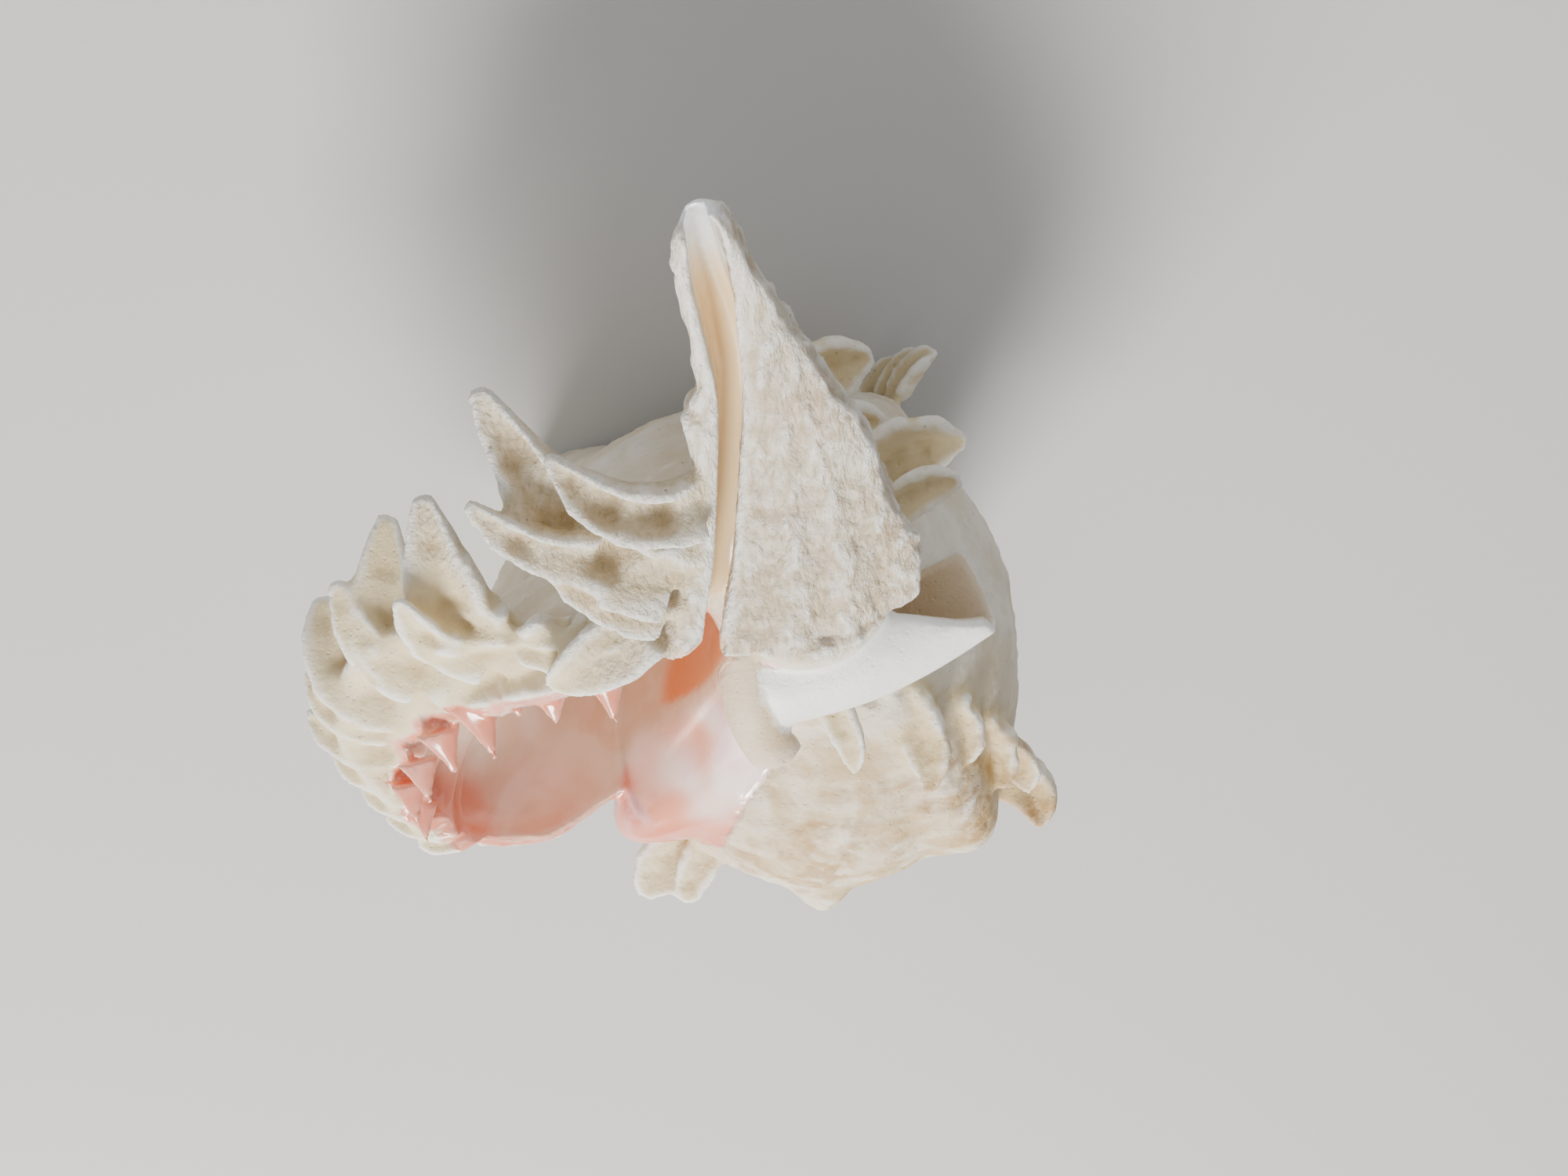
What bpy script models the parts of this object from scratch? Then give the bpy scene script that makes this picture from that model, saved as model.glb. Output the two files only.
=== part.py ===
"""Murex shell: a large, three-varixed shell with fluted fronds, one closed solid.

The shell is shaped in its growth frame, in millimetres: the coiling axis is Z, the apex is the
origin, the siphonal canal points down -Z, the outer lip is at +X and the back of the shell at +Y.
A height is given as h, the distance below the apex. The finished shell is then turned to lie on a
table, on the fronds of its back, with its aperture up.
"""
import math

import bmesh
import bpy
from mathutils import Matrix, Vector

MM = 0.001

# Coiling: every length grows by this factor for each radian that the shell turns
GROWTH = 0.094
LIP_AZIMUTH = 200.0
FIRST_TURN = -1560.0
TURN_STEP = 6.0

# Whorl outline as (radius, h) at the lip, from the suture round to the base of the canal
WHORL = [(20, 40), (28, 45), (34, 50), (38, 56), (39, 64), (38, 74), (34, 86), (27, 97), (20, 106), (14, 114)]
AXIS_GAP = 0.5
# The same points where the lip flares, with the turn in degrees by which each leads or lags
FLARE = [(20, 40), (27, 44), (36, 46.5), (44, 50.5), (48.5, 57), (49, 68), (46, 77),
         (40, 87), (32, 96), (22, 106)]
LEAD = [6, 9, 10.5, 5, 1.5, -2, -4, -3, 1, 7]
FLARE_START = -34.0
FLARE_FULL = -9.0

# Varices stand about a third of a turn apart, with a shoulder knob midway between them
VARIX_TURNS = [-120.0, -234.0] + [-120.0 * k for k in range(3, 12)]
VARIX_WEAR = 0.5
VARIX_BACK = 14.0
VARIX_FRONT = 9.0
# Each knob: its turn, its height, and its spread along the whorl in degrees and across it in points
KNOBS = [(-62.0, 9.5, 13.0, 1.1), (-182.0, 1.0, 9.0, 1.1), (-192.0, -3.6, 26.0, 3.0), (-287.0, 4.8, 7.5, 1.1)]
KNOBS += [(-420.0 - 120.0 * k, 4.5, 8.0, 1.1) for k in range(9)]
KNOB_POINT = 3

# Cavity outline as (radius, h): deep inside, and at the flared lip
CAVITY = [(23.5, 46.5), (30, 51.5), (34, 58), (35, 66.5), (33.5, 77), (29, 87), (22.5, 96), (16, 103),
          (11.5, 106), (9.3, 98), (9.6, 84), (11.2, 70.5), (14.8, 59), (19, 50.5)]
CAVITY_RIM = [(24.5, 46), (33.5, 48.6), (41.5, 52.3), (46, 59.2), (46.8, 68.7), (43.5, 77.5), (36.8, 86.3),
              (29.3, 94.5), (21, 103), (11.5, 110), (9.3, 90), (10.8, 74), (14, 62), (18.5, 53)]
CAVITY_LEAD = [10, 12, 7.5, 3, 0, -3, -4, -1, 5, 10, 6, 4, 4, 6]
CAVITY_DEEP = -165.0
CAVITY_OUT = 16.0


def growth(turn):
    """Size of the shell at a turn in degrees, 1 at the lip."""
    return math.exp(GROWTH * math.radians(turn))


def coil_point(turn, radius, h):
    """Place a point of the lip outline where it was when the lip stood at this turn."""
    size = growth(turn)
    angle = math.radians(LIP_AZIMUTH + turn)
    return Vector((-radius * size * math.cos(angle), radius * size * math.sin(angle), -h * size))


def coil_matrix(turn):
    """The move that takes the present lip back to an earlier one."""
    return Matrix.Rotation(math.radians(-turn), 4, "Z") @ Matrix.Scale(growth(turn), 4)


def ease(value):
    """Smooth step from 0 to 1."""
    value = min(1.0, max(0.0, value))
    return value * value * (3.0 - 2.0 * value)


def mix(a, b, share):
    return a + (b - a) * share


def loft(bm, rings):
    """Extrude a closed loop through the rings, and close both ends."""
    loop = [bm.verts.new(point) for point in rings[0]]
    edges = [bm.edges.new((loop[k], loop[(k + 1) % len(loop)])) for k in range(len(loop))]
    made = bmesh.ops.edgeloop_fill(bm, edges=edges)["faces"]
    for ring in rings[1:]:
        grown = bmesh.ops.extrude_edge_only(bm, edges=edges)["geom"]
        fresh = {item for item in grown if isinstance(item, bmesh.types.BMVert)}
        made += [item for item in grown if isinstance(item, bmesh.types.BMFace)]
        loop = [next(e.other_vert(v) for e in v.link_edges if e.other_vert(v) in fresh) for v in loop]
        edges = [bm.edges.get((loop[k], loop[(k + 1) % len(loop)])) for k in range(len(loop))]
        for vert, point in zip(loop, ring):
            vert.co = point
    made += bmesh.ops.edgeloop_fill(bm, edges=edges)["faces"]
    bmesh.ops.recalc_face_normals(bm, faces=made)


def varix_rise(turn):
    """How far the whorl stands out towards the flared outline at a turn, 0 to 1."""
    rise = ease((turn - FLARE_START) / (FLARE_FULL - FLARE_START))
    for centre in VARIX_TURNS:
        offset = turn - centre
        if -VARIX_BACK - VARIX_FRONT < offset <= -VARIX_FRONT:
            rise = VARIX_WEAR * ease((offset + VARIX_BACK + VARIX_FRONT) / VARIX_BACK)
        elif -VARIX_FRONT < offset < VARIX_FRONT:
            rise = VARIX_WEAR * ease((VARIX_FRONT - offset) / (2 * VARIX_FRONT))
    return rise


def knob_rise(turn, point):
    """Height of the shoulder knobs, in millimetres at the lip's size."""
    height = 0.0
    for centre, high, spread, wide in KNOBS:
        along = (turn - centre) / spread
        across = (point - KNOB_POINT) / wide
        height += high * math.exp(-along * along - across * across)
    return height


def whorls(bm):
    """The coiled body and spire, with varices, knobs and the flared lip."""
    rings = []
    count = int(-FIRST_TURN / TURN_STEP)
    for step in range(count + 1):
        turn = FIRST_TURN * (1.0 - step / count)
        rise = varix_rise(turn)
        lead_share = ease((turn + 40.0) / 40.0)
        ring = []
        for point, ((r0, h0), (r1, h1)) in enumerate(zip(WHORL, FLARE)):
            knob = knob_rise(turn, point)
            lead = LEAD[point] * lead_share
            ring.append(coil_point(turn + lead, mix(r0, r1, rise) + knob, mix(h0, h1, rise) - 0.35 * knob))
        ring.append(coil_point(turn, AXIS_GAP, WHORL[-1][1]))
        ring.append(coil_point(turn, AXIS_GAP, WHORL[0][1] - 12.0))
        rings.append(ring)
    loft(bm, rings)


def aperture_cutter(bm):
    """The hollow of the last half whorl, opening at the lip."""
    rings = []
    turns = [CAVITY_DEEP + 15.0 * k for k in range(10)] + [-24.0, -17.0, -10.0, -4.0, 0.0, 6.0, CAVITY_OUT]
    for turn in turns:
        share = ease((turn + 24.0) / 22.0)
        ring = []
        for (r0, h0), (r1, h1), lead in zip(CAVITY, CAVITY_RIM, CAVITY_LEAD):
            past = max(0.0, turn) / CAVITY_OUT
            radius = mix(r0, r1, share) * (1.0 + 0.03 * past)
            ring.append(coil_point(turn + lead * share, radius, mix(h0, h1, share)))
        rings.append(ring)
    loft(bm, rings)


def oval(centre, half_x, half_y, h, count=16, square=1.0):
    """A level oval ring, squarer as `square` falls below 1."""
    ring = []
    for k in range(count):
        angle = 2 * math.pi * k / count
        c, s = math.cos(angle), math.sin(angle)
        ring.append(Vector((centre[0] + half_x * math.copysign(abs(c) ** square, c),
                            centre[1] + half_y * math.copysign(abs(s) ** square, s), -h)))
    return ring


# Canal, as h and the reach of its section: left (+X), right (-X), front (-Y) and back (+Y)
CANAL = [
    (84, 9.5, -9.0, -7.0, 13.0),
    (100, 10.5, -9.5, -6.0, 14.5),
    (109, 12.0, -9.6, -6.0, 12.0),
    (117, 11.5, -9.0, -5.0, 11.5),
    (126, 10.5, -7.0, -1.5, 11.2),
    (135, 9.0, -4.8, 1.6, 11.5),
    (144, 8.6, -2.2, 4.0, 12.0),
    (152, 8.1, 0.2, 5.3, 12.0),
    (160, 8.2, 2.4, 6.5, 12.2),
    (168, 8.5, 4.2, 7.2, 12.0),
    (176, 8.5, 5.0, 7.4, 11.0),
    (182, 8.0, 5.6, 7.0, 8.9),
]
# Slit along the canal's front: h, x, y of its middle, half width, radius of the channel behind it
SLIT = [
    (98, 13.0, -8.0, 1.5, 2.6),
    (106, 12.0, -9.5, 1.0, 2.6),
    (112, 9.5, -9.2, 0.8, 2.6),
    (119, 8.3, -5.6, 0.95, 2.4),
    (127, 7.2, -2.2, 0.95, 2.3),
    (136, 6.5, 1.2, 0.95, 2.2),
    (144, 6.0, 3.4, 0.95, 1.9),
    (151, 5.8, 4.6, 1.0, 1.7),
    (161, 6.2, 6.4, 1.2, 1.4),
    (169, 6.5, 6.9, 1.4, 1.2),
    (176, 6.7, 6.8, 1.2, 0.95),
    (183, 6.8, 5.7, 1.0, 0.8),
    (187, 6.8, 5.0, 1.0, 0.8),
]
CHANNEL_WALL = 1.2
# Broad front plate of the canal: h, x and y of its edge at the slit, x and y of its outer edge
PLATE = [
    (111.5, 8.7, -9.4, -11.0, -3.9),
    (115, 8.0, -8.0, -11.2, -3.5),
    (121, 7.2, -5.0, -10.7, -1.9),
    (129, 6.3, -1.4, -7.9, 0.3),
    (135, 5.9, 1.0, -6.8, 2.1),
    (142, 5.4, 3.0, -5.3, 3.4),
    (149, 4.9, 4.3, -2.6, 4.9),
    (160, 4.8, 6.3, 1.0, 7.0),
    (167, 5.0, 7.1, 2.9, 7.4),
    (176, 5.4, 7.4, 4.5, 7.6),
    (181, 5.7, 6.8, 5.2, 7.0),
]
PLATE_THICK = 2.4
PLATE_SWELL = 0.09
# Rounded rim on the lip's side of the slit: h, x, y, radius
RIM = [
    (104, 14.0, -7.0, 2.6),
    (110, 12.2, -7.4, 2.3),
    (116, 11.0, -5.4, 2.1),
    (122, 10.0, -3.2, 2.0),
    (128, 9.2, -1.0, 1.8),
    (135, 8.3, 1.4, 1.4),
    (140, 8.2, 3.0, 1.4),
    (146, 8.2, 4.6, 1.6),
    (151, 7.6, 5.6, 1.1),
    (158, 7.8, 6.6, 1.1),
    (167, 8.3, 7.6, 1.0),
    (176, 8.2, 7.8, 1.0),
    (180, 7.8, 7.2, 0.8),
]


def canal(bm):
    """The siphonal canal, bent towards the back, with the broad plate on its front."""
    rings = []
    for h, left, right, front, back in CANAL:
        centre = ((left + right) / 2, (front + back) / 2)
        rings.append(oval(centre, (left - right) / 2, (back - front) / 2, h, square=0.85))
    loft(bm, rings)
    rings = []
    for h, x0, y0, x1, y1 in PLATE:
        front = []
        for k in range(6):
            share = k / 5
            swell = PLATE_SWELL * (x0 - x1) * math.sin(math.pi * share)
            front.append(Vector((mix(x0, x1, share), mix(y0, y1, share) - swell, -h)))
        rings.append(front + [point + Vector((0, PLATE_THICK, 0)) for point in reversed(front)])
    loft(bm, rings)
    loft(bm, [oval((x, y), radius, radius * 1.4, h, 12) for h, x, y, radius in RIM])


def canal_cutter(bm):
    """The slit and the channel behind it, from the aperture to the broken tip."""
    rings = []
    for h, x, y, gap, radius in SLIT:
        middle = Vector((x + gap - radius + 0.2, y + CHANNEL_WALL + radius, -h))
        ring = [Vector((x + gap, y - 5.0, -h)), Vector((x - gap, y - 5.0, -h))]
        ring.append(Vector((x - gap, middle.y - 0.6 * radius, -h)))
        for k in range(9):
            angle = math.radians(mix(205.0, -10.0, k / 8))
            ring.append(middle + Vector((radius * math.cos(angle), radius * math.sin(angle), 0)))
        rings.append(ring)
    loft(bm, rings)


def columella(bm):
    """The pillar that the aperture winds round."""
    stations = [(40, 6.0), (62, 9.5), (80, 9.0), (98, 9.0), (112, 9.5)]
    loft(bm, [oval((0, 0), radius, radius, h) for h, radius in stations])


# Callus laid over the earlier whorl beside the aperture: (radius, h) on its face, and behind it.
# For each point of the face: its share of the raised flange, and the degrees it stops short of the end.
CALLUS_FACE = [(38, 64), (40.5, 71), (40, 80), (35, 92), (27.5, 104), (22, 119),
               (18.5, 138), (16.5, 158), (16, 174)]
CALLUS_RAISED = [0, 1, 0.8, 0.15, 0, 0, 0, 0, 0]
CALLUS_SHORT = [9, 9, 9, 7, 4, 1, 0, 0, 0]
CALLUS_BACK = [(10, 174), (10, 138), (12, 119), (20, 100), (28, 86), (33, 70)]
CALLUS_TURNS = [-366.0, -359.0, -352.0, -345.0, -338.0, -331.0, -324.0, -317.0, -311.0]
FLANGE_TURN = -345.0
FLANGE_SPREAD = 14.0
FLANGE_HEIGHT = 10.0


def callus(bm):
    """The smooth sheet over the earlier whorl, thinning out at its free edge."""
    rings = []
    for turn in CALLUS_TURNS:
        thin = 1.0 - 0.10 * ease((turn + 330.0) / 19.0)
        flange = FLANGE_HEIGHT * math.exp(-((turn - FLANGE_TURN) / FLANGE_SPREAD) ** 2)
        far = ease((turn - FLANGE_TURN) / (CALLUS_TURNS[-1] - FLANGE_TURN))
        face = [coil_point(turn - far * short, radius * thin + flange * raised, h)
                for (radius, h), raised, short in zip(CALLUS_FACE, CALLUS_RAISED, CALLUS_SHORT)]
        back = [coil_point(turn, radius * 0.95, h) for radius, h in CALLUS_BACK]
        rings.append(face + back)
    loft(bm, rings)


def frond(bm, base, bend, tip, width, cup, front, lobes=0.0, steps=8, arc=7, solid=0.6):
    """A hollow fluted frond: a C section swept along a bent line, open towards `front`."""
    base, bend, tip, front = (Vector(v) for v in (base, bend, tip, front))
    rings = []
    for step in range(steps + 1):
        t = step / steps
        centre = base * (1 - t) ** 2 + bend * (2 * t * (1 - t)) + tip * t * t
        axis = ((bend - base) * (1 - t) + (tip - bend) * t).normalized()
        side = axis.cross(front).normalized()
        opening = side.cross(axis)
        taper = (1.0 - t ** 3.2) * 0.78 + 0.22
        saw = lobes * (t * 3.0 - math.floor(t * 3.0)) * taper
        half = width * taper
        deep = cup * taper
        wall = max(0.9, solid * half)
        outer, inner = [], []
        for k in range(arc):
            angle = math.radians(mix(-118.0, 118.0, k / (arc - 1)))
            flare = 1.0 + saw * abs(math.sin(angle)) ** 4
            across = side * flare * math.sin(angle)
            depth = opening * math.cos(angle)
            outer.append(centre + across * half - depth * deep)
            half_in = max(0.12 * half, half - wall)
            deep_in = max(0.12 * deep, deep - wall)
            inner.append(centre + across * half_in - depth * deep_in)
        rings.append(outer + inner[::-1])
    loft(bm, rings)


# Fronds of the present lip: base, bend, tip, half width, cup, lobes of the edges
LIP_FRONDS = [
    ((9.0, -0.5, -136), (16, -4.5, -138), (22, 3, -141), 3.2, 2.6, 0.25),
    ((11.5, -4.5, -124), (20, -5, -130), (27.8, 9, -141), 4.6, 3.4, 0.35),
    ((19, -3, -128), (25, -4, -131), (29.5, 0.5, -136), 2.6, 2.0, 0.2),
    ((13, -7, -118), (19, -7, -122), (23.5, -3.5, -129), 2.4, 1.8, 0.3),
    ((16, -7, -115), (21, -10, -110), (25.8, -10.2, -103.5), 3.6, 2.2, 0.0),
    ((24, -6.5, -106.5), (27, -8, -104), (30, -4, -103), 3.2, 2.2, 0.1),
    ((31.5, -8, -97), (36, -5, -102), (36.8, 7.5, -113), 4.9, 3.6, 0.3),
    ((34, -8, -95), (38, -6, -101), (40.2, -1.5, -108), 3.0, 2.2, 0.2),
    ((39.5, -8, -88), (45, -4, -92), (42.8, 9.8, -98), 4.8, 3.4, 0.3),
    ((42, -7.5, -86), (47, -4, -91), (49, 4, -95), 3.0, 2.2, 0.2),
    ((45, -8.5, -79), (52, -5, -81), (52.4, 5, -83), 5.2, 3.6, 0.15),
    ((46, -10.5, -75.5), (53, -8, -77), (55, -2, -78), 3.2, 2.4, 0.15),
    ((46, -12, -71), (53, -11, -72), (56.5, -5.5, -72), 3.0, 2.2, 0.15),
    ((45, -13.5, -67), (51, -14, -68), (54.5, -9.5, -68), 2.8, 2.0, 0.1),
    ((42, -15, -63), (49, -16, -63), (52.3, -13, -62.5), 2.8, 2.0, 0.1),
    ((40, -16, -59), (47, -18, -58), (50.5, -15.5, -57), 2.8, 2.0, 0.1),
    ((38, -16, -56), (44, -19.5, -55), (47, -19, -54.5), 2.6, 1.8, 0.1),
]
FROND_FRONT = (0.2, -0.75, -0.6)
# Thickness of the fronds' walls as a share of their half width: the canal's own are deep scrolls
LIP_SOLID = 0.6
OPEN_SOLID = 0.34
OPEN_BELOW = -122.0

# Teeth of the lip's edge: base, tip and half width
TEETH = [
    ((20, -9.5, -102), (19.4, -13.3, -99.5), 1.6),
    ((26.5, -8.5, -96), (25.9, -12.2, -93.5), 1.6),
    ((34.5, -9, -86), (33.5, -13.2, -84), 1.8),
    ((39.5, -10.5, -80), (38.5, -13.8, -78), 1.6),
    ((43, -13, -74), (42.2, -16.2, -72.5), 1.6),
    ((45, -14.5, -68), (44.6, -18.2, -66.5), 1.6),
    ((44.5, -16, -62), (44.4, -19.6, -61), 1.6),
]

# Worn fronds that stand on the last three earlier varices, beside the canal
EARLIER_FRONDS = [
    ((1, 27, -76), (-4, 31.5, -79), (-9.2, 31, -80), 4.4, 2.8, 0.2),
    ((-3, 21, -83), (-6, 23.5, -85), (-9.8, 21.4, -86), 2.8, 2.2, 0.2),
    ((-7, 12, -94), (-12, 17, -97), (-17.8, 15.5, -97), 4.2, 2.6, 0.2),
    ((-9, 8, -98), (-14, 12, -99), (-17, 10.5, -99), 2.6, 1.8, 0.0),
    ((-3, -9, -80), (-5, -13, -79), (-5.1, -16, -75), 2.2, 1.6, 0.0),
    ((-10, -6, -72), (-15, -11, -70), (-13.5, -17, -66), 3.2, 2.4, 0.1),
    ((-15, -6, -66), (-19, -9, -64), (-18.5, -13, -62), 3.2, 2.4, 0.2),
    ((-18, -7, -60), (-23.5, -10, -58), (-22.8, -15, -54), 3.4, 2.6, 0.2),
    ((-21, -9, -52), (-27.5, -11, -50), (-26.5, -14.5, -47), 3.0, 2.2, 0.1),
    ((-21, -10, -44), (-30, -12, -42), (-28.6, -18, -40), 3.9, 3.0, 0.1),
    ((15, -16, -35), (20, -21, -31), (21.5, -24, -28), 3.4, 2.4, 0.2),
    ((12, -17, -36), (16, -23, -31), (16, -25, -29), 2.6, 2.0, 0.0),
]

# How much of each frond is left on the earlier varices
WORN_LENGTH = 0.62
WORN_TURNS = [-120.0, -360.0, -480.0, -600.0, -720.0]
WORN_LOWEST = -76.0
WORN_SOLID = 0.6
# Their feet sit this much nearer the axis, and those with a narrower half width are left out
WORN_FOOT = 0.93
WORN_NARROWEST = 1.2

# Sheet that joins the fronds of the lip: which of them, and how far it reaches along each
WEB = [(4, 0.25), (5, 0.3), (6, 0.34), (7, 0.5), (8, 0.5), (9, 0.5), (10, 0.5), (11, 0.5),
       (12, 0.55), (13, 0.6), (14, 0.6), (15, 0.6), (16, 0.6)]
WEB_THICK = 3.4
WEB_FOOT = 1.5
WEB_EDGE = 2.0


def web_rings():
    """Sections of the sheet between the fronds, from the canal's side to the suture."""
    rings = []
    for row, reach in WEB:
        base, bend, tip = (Vector(v) for v in LIP_FRONDS[row][:3])
        edge = base * (1 - reach) ** 2 + bend * (2 * reach * (1 - reach)) + tip * reach * reach
        axis = (edge - base).normalized()
        face = axis.cross(Vector(FROND_FRONT)).cross(axis).normalized()
        foot = base + axis * WEB_FOOT
        rings.append([foot + face * WEB_THICK / 2, edge + face * WEB_EDGE / 2, edge - face * WEB_EDGE / 2,
                      foot - face * WEB_THICK / 2])
    return rings


def lip_ornament(bm):
    """Fronds, web and teeth of the present lip."""
    loft(bm, web_rings())
    for base, bend, tip, width, cup, lobes in LIP_FRONDS:
        solid = OPEN_SOLID if base[2] < OPEN_BELOW else LIP_SOLID
        frond(bm, base, bend, tip, width, cup, FROND_FRONT, lobes, solid=solid)
    for base, tip, width in TEETH:
        middle = (Vector(base) + Vector(tip)) / 2
        frond(bm, base, middle, tip, width, width * 0.8, (0, 0, 1), 0.0, 4, 5, LIP_SOLID)


def worn_ornament(bm):
    """Shorter, worn copies of the lip's fronds on the earlier varices."""
    for base, bend, tip, width, cup, lobes in EARLIER_FRONDS:
        frond(bm, base, bend, tip, width, cup, FROND_FRONT, lobes, 6, 5, WORN_SOLID)
    for turn in WORN_TURNS:
        back = coil_matrix(turn)
        for base, bend, tip, width, cup, lobes in LIP_FRONDS:
            if growth(turn) * width < WORN_NARROWEST or base[2] < WORN_LOWEST:
                continue
            root = Vector(base) * WORN_FOOT
            short_tip = root.lerp(Vector(tip), WORN_LENGTH)
            short_bend = root.lerp(Vector(bend), WORN_LENGTH)
            front = back.to_3x3() @ Vector(FROND_FRONT)
            frond(bm, back @ root, back @ short_bend, back @ short_tip, width * growth(turn),
                  cup * growth(turn), front, lobes, 5, 5, WORN_SOLID)


# Remnants of the two earlier canals: stations of x, y, h, radius and the sweep of the near wall in
# degrees, and the way each gutter opens
TUBE = [(1.2, -5.6, 96, 7.2, 110), (-4.5, -4.4, 97, 7.2, 110), (-10.6, -2.2, 98.5, 6.9, 100),
        (-16.8, 0.4, 100.5, 6.2, 45)]
TAN = [(4.8, -4.5, 100, 4.2, 110), (4.6, -8.0, 96, 4.2, 110), (4.0, -11.0, 92, 4.0, 110),
       (2.6, -12.8, 88, 4.2, 110)]

TUBE_OPENS = (0.15, 0.9, -0.42)
TAN_OPENS = (-0.6, 0.2, 0.75)


def gutter(bm, stations, opening, wall=1.6, sweep=110.0):
    """An old canal: a half pipe that is open on one side."""
    points = [Vector((x, y, -h)) for x, y, h, *_ in stations]
    opening = Vector(opening).normalized()
    rings = []
    for k, (centre, station) in enumerate(zip(points, stations)):
        axis = (points[min(k + 1, len(points) - 1)] - points[max(k - 1, 0)]).normalized()
        side = axis.cross(opening).normalized()
        up = side.cross(axis)
        radius = station[3]
        outer, inner = [], []
        for j in range(9):
            angle = math.radians(mix(-sweep, station[4], j / 8))
            way = side * math.sin(angle) - up * math.cos(angle)
            outer.append(centre + way * radius)
            inner.append(centre + way * (radius - wall))
        rings.append(outer + inner[::-1])
    loft(bm, rings)


def old_canals(bm):
    """The broken tube of the last canal but one, and the plate of the one before."""
    gutter(bm, TUBE, TUBE_OPENS)
    gutter(bm, TAN, TAN_OPENS)


# How the shell lies: turns about X, Y and Z from the growth frame, then a shift in millimetres
REST_TILT = (-129.9, 13.9, -17.7)
REST_SHIFT = (-7.35, 75.6, -1.25)
FUSE_VOXEL = 0.7
SKIN_VOXEL = 0.65
FACE_COUNT = 9000


def rest_matrix():
    """The move from the growth frame, in millimetres, to the shell lying on a table, in metres."""
    rx, ry, rz = (math.radians(angle) for angle in REST_TILT)
    turn = Matrix.Rotation(rz, 4, "Z") @ Matrix.Rotation(ry, 4, "Y") @ Matrix.Rotation(rx, 4, "X")
    return Matrix.Scale(MM, 4) @ Matrix.Translation(REST_SHIFT) @ turn


def new_object(name, collection, *builders):
    """Make an object from builders that work in the growth frame, placed as the shell lies."""
    bm = bmesh.new()
    for build in builders:
        build(bm)
    bmesh.ops.transform(bm, matrix=rest_matrix(), verts=bm.verts)
    mesh = bpy.data.meshes.new(name)
    bm.to_mesh(mesh)
    bm.free()
    made = bpy.data.objects.new(name, mesh)
    collection.objects.link(made)
    return made


def cut(target, cutter):
    """Take a cutter away from an object with a live Boolean."""
    cutter.hide_render = True
    cutter.display_type = "WIRE"
    modifier = target.modifiers.new(cutter.name, "BOOLEAN")
    modifier.operation = "DIFFERENCE"
    modifier.solver = "EXACT"
    modifier.object = cutter


def fuse(target, voxel):
    """Melt an object's overlapping forms into one skin with a live voxel remesh."""
    modifier = target.modifiers.new("fuse", "REMESH")
    modifier.mode = "VOXEL"
    modifier.voxel_size = voxel * MM


def keep_largest_body(bm):
    """Delete every loose crumb that the cuts leave beside the shell."""
    bodies = []
    waiting = set(bm.verts)
    while waiting:
        reached = {waiting.pop()}
        edge_of_reach = list(reached)
        while edge_of_reach:
            vert = edge_of_reach.pop()
            for edge in vert.link_edges:
                other = edge.other_vert(vert)
                if other in waiting:
                    waiting.discard(other)
                    reached.add(other)
                    edge_of_reach.append(other)
        bodies.append(reached)
    bodies.sort(key=len)
    for crumb in bodies[:-1]:
        bmesh.ops.delete(bm, geom=list(crumb), context="VERTS")


def settle(target):
    """Replace an object's mesh by its evaluated one, without its crumbs and its modifiers."""
    depsgraph = bpy.context.evaluated_depsgraph_get()
    mesh = bpy.data.meshes.new_from_object(target.evaluated_get(depsgraph))
    bm = bmesh.new()
    bm.from_mesh(mesh)
    keep_largest_body(bm)
    bm.to_mesh(mesh)
    bm.free()
    target.modifiers.clear()
    target.data = mesh


def ground(bm):
    """A block under the table's surface, which wears the lowest points flat."""
    size = Matrix.Diagonal((400.0, 400.0, 40.0, 1.0))
    sunk = Matrix.Translation((0.0, 0.0, -20.0))
    made = bmesh.ops.create_cube(bm, size=1.0, matrix=sunk @ size)
    back = (Matrix.Scale(1.0 / MM, 4) @ rest_matrix()).inverted()
    bmesh.ops.transform(bm, matrix=back, verts=made["verts"])


def shell_material():
    """Chalky cream, as most of the shell is."""
    material = bpy.data.materials.new("shell")
    material.use_nodes = True
    finish = material.node_tree.nodes["Principled BSDF"]
    finish.inputs["Base Color"].default_value = (0.66, 0.60, 0.49, 1.0)
    finish.inputs["Roughness"].default_value = 0.6
    finish.inputs["Metallic"].default_value = 0.0
    return material


def main():
    for item in list(bpy.data.objects):
        bpy.data.objects.remove(item, do_unlink=True)
    parts = bpy.data.collections.new("murex_shell")
    cutters = bpy.data.collections.new("cutters")
    for group in (parts, cutters):
        bpy.context.scene.collection.children.link(group)

    forms = (whorls, canal, columella, callus, lip_ornament, worn_ornament, old_canals)
    shell = new_object("murex_shell", parts, *forms)
    fuse(shell, FUSE_VOXEL)
    cut(shell, new_object("aperture_cutter", cutters, aperture_cutter))
    cut(shell, new_object("canal_cutter", cutters, canal_cutter))
    settle(shell)

    fuse(shell, SKIN_VOXEL)
    settle(shell)
    thin = shell.modifiers.new("thin", "DECIMATE")
    thin.ratio = FACE_COUNT / sum(len(face.vertices) - 2 for face in shell.data.polygons)
    settle(shell)
    cut(shell, new_object("ground_cutter", cutters, ground))
    shell.data.materials.clear()
    shell.data.materials.append(shell_material())


main()
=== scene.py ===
"""Murex shell on a pale floor, seen from its canal end.

The shell is shaped in its growth frame, in millimetres: the coiling axis is Z, the apex is the
origin, the siphonal canal points down -Z, the outer lip is at +X and the back of the shell at +Y.
A height is given as h, the distance below the apex. rest_matrix() lays the shell on the floor.
"""
import math

import bmesh
import bpy
from mathutils import Matrix, Vector, noise
from mathutils.bvhtree import BVHTree


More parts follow.
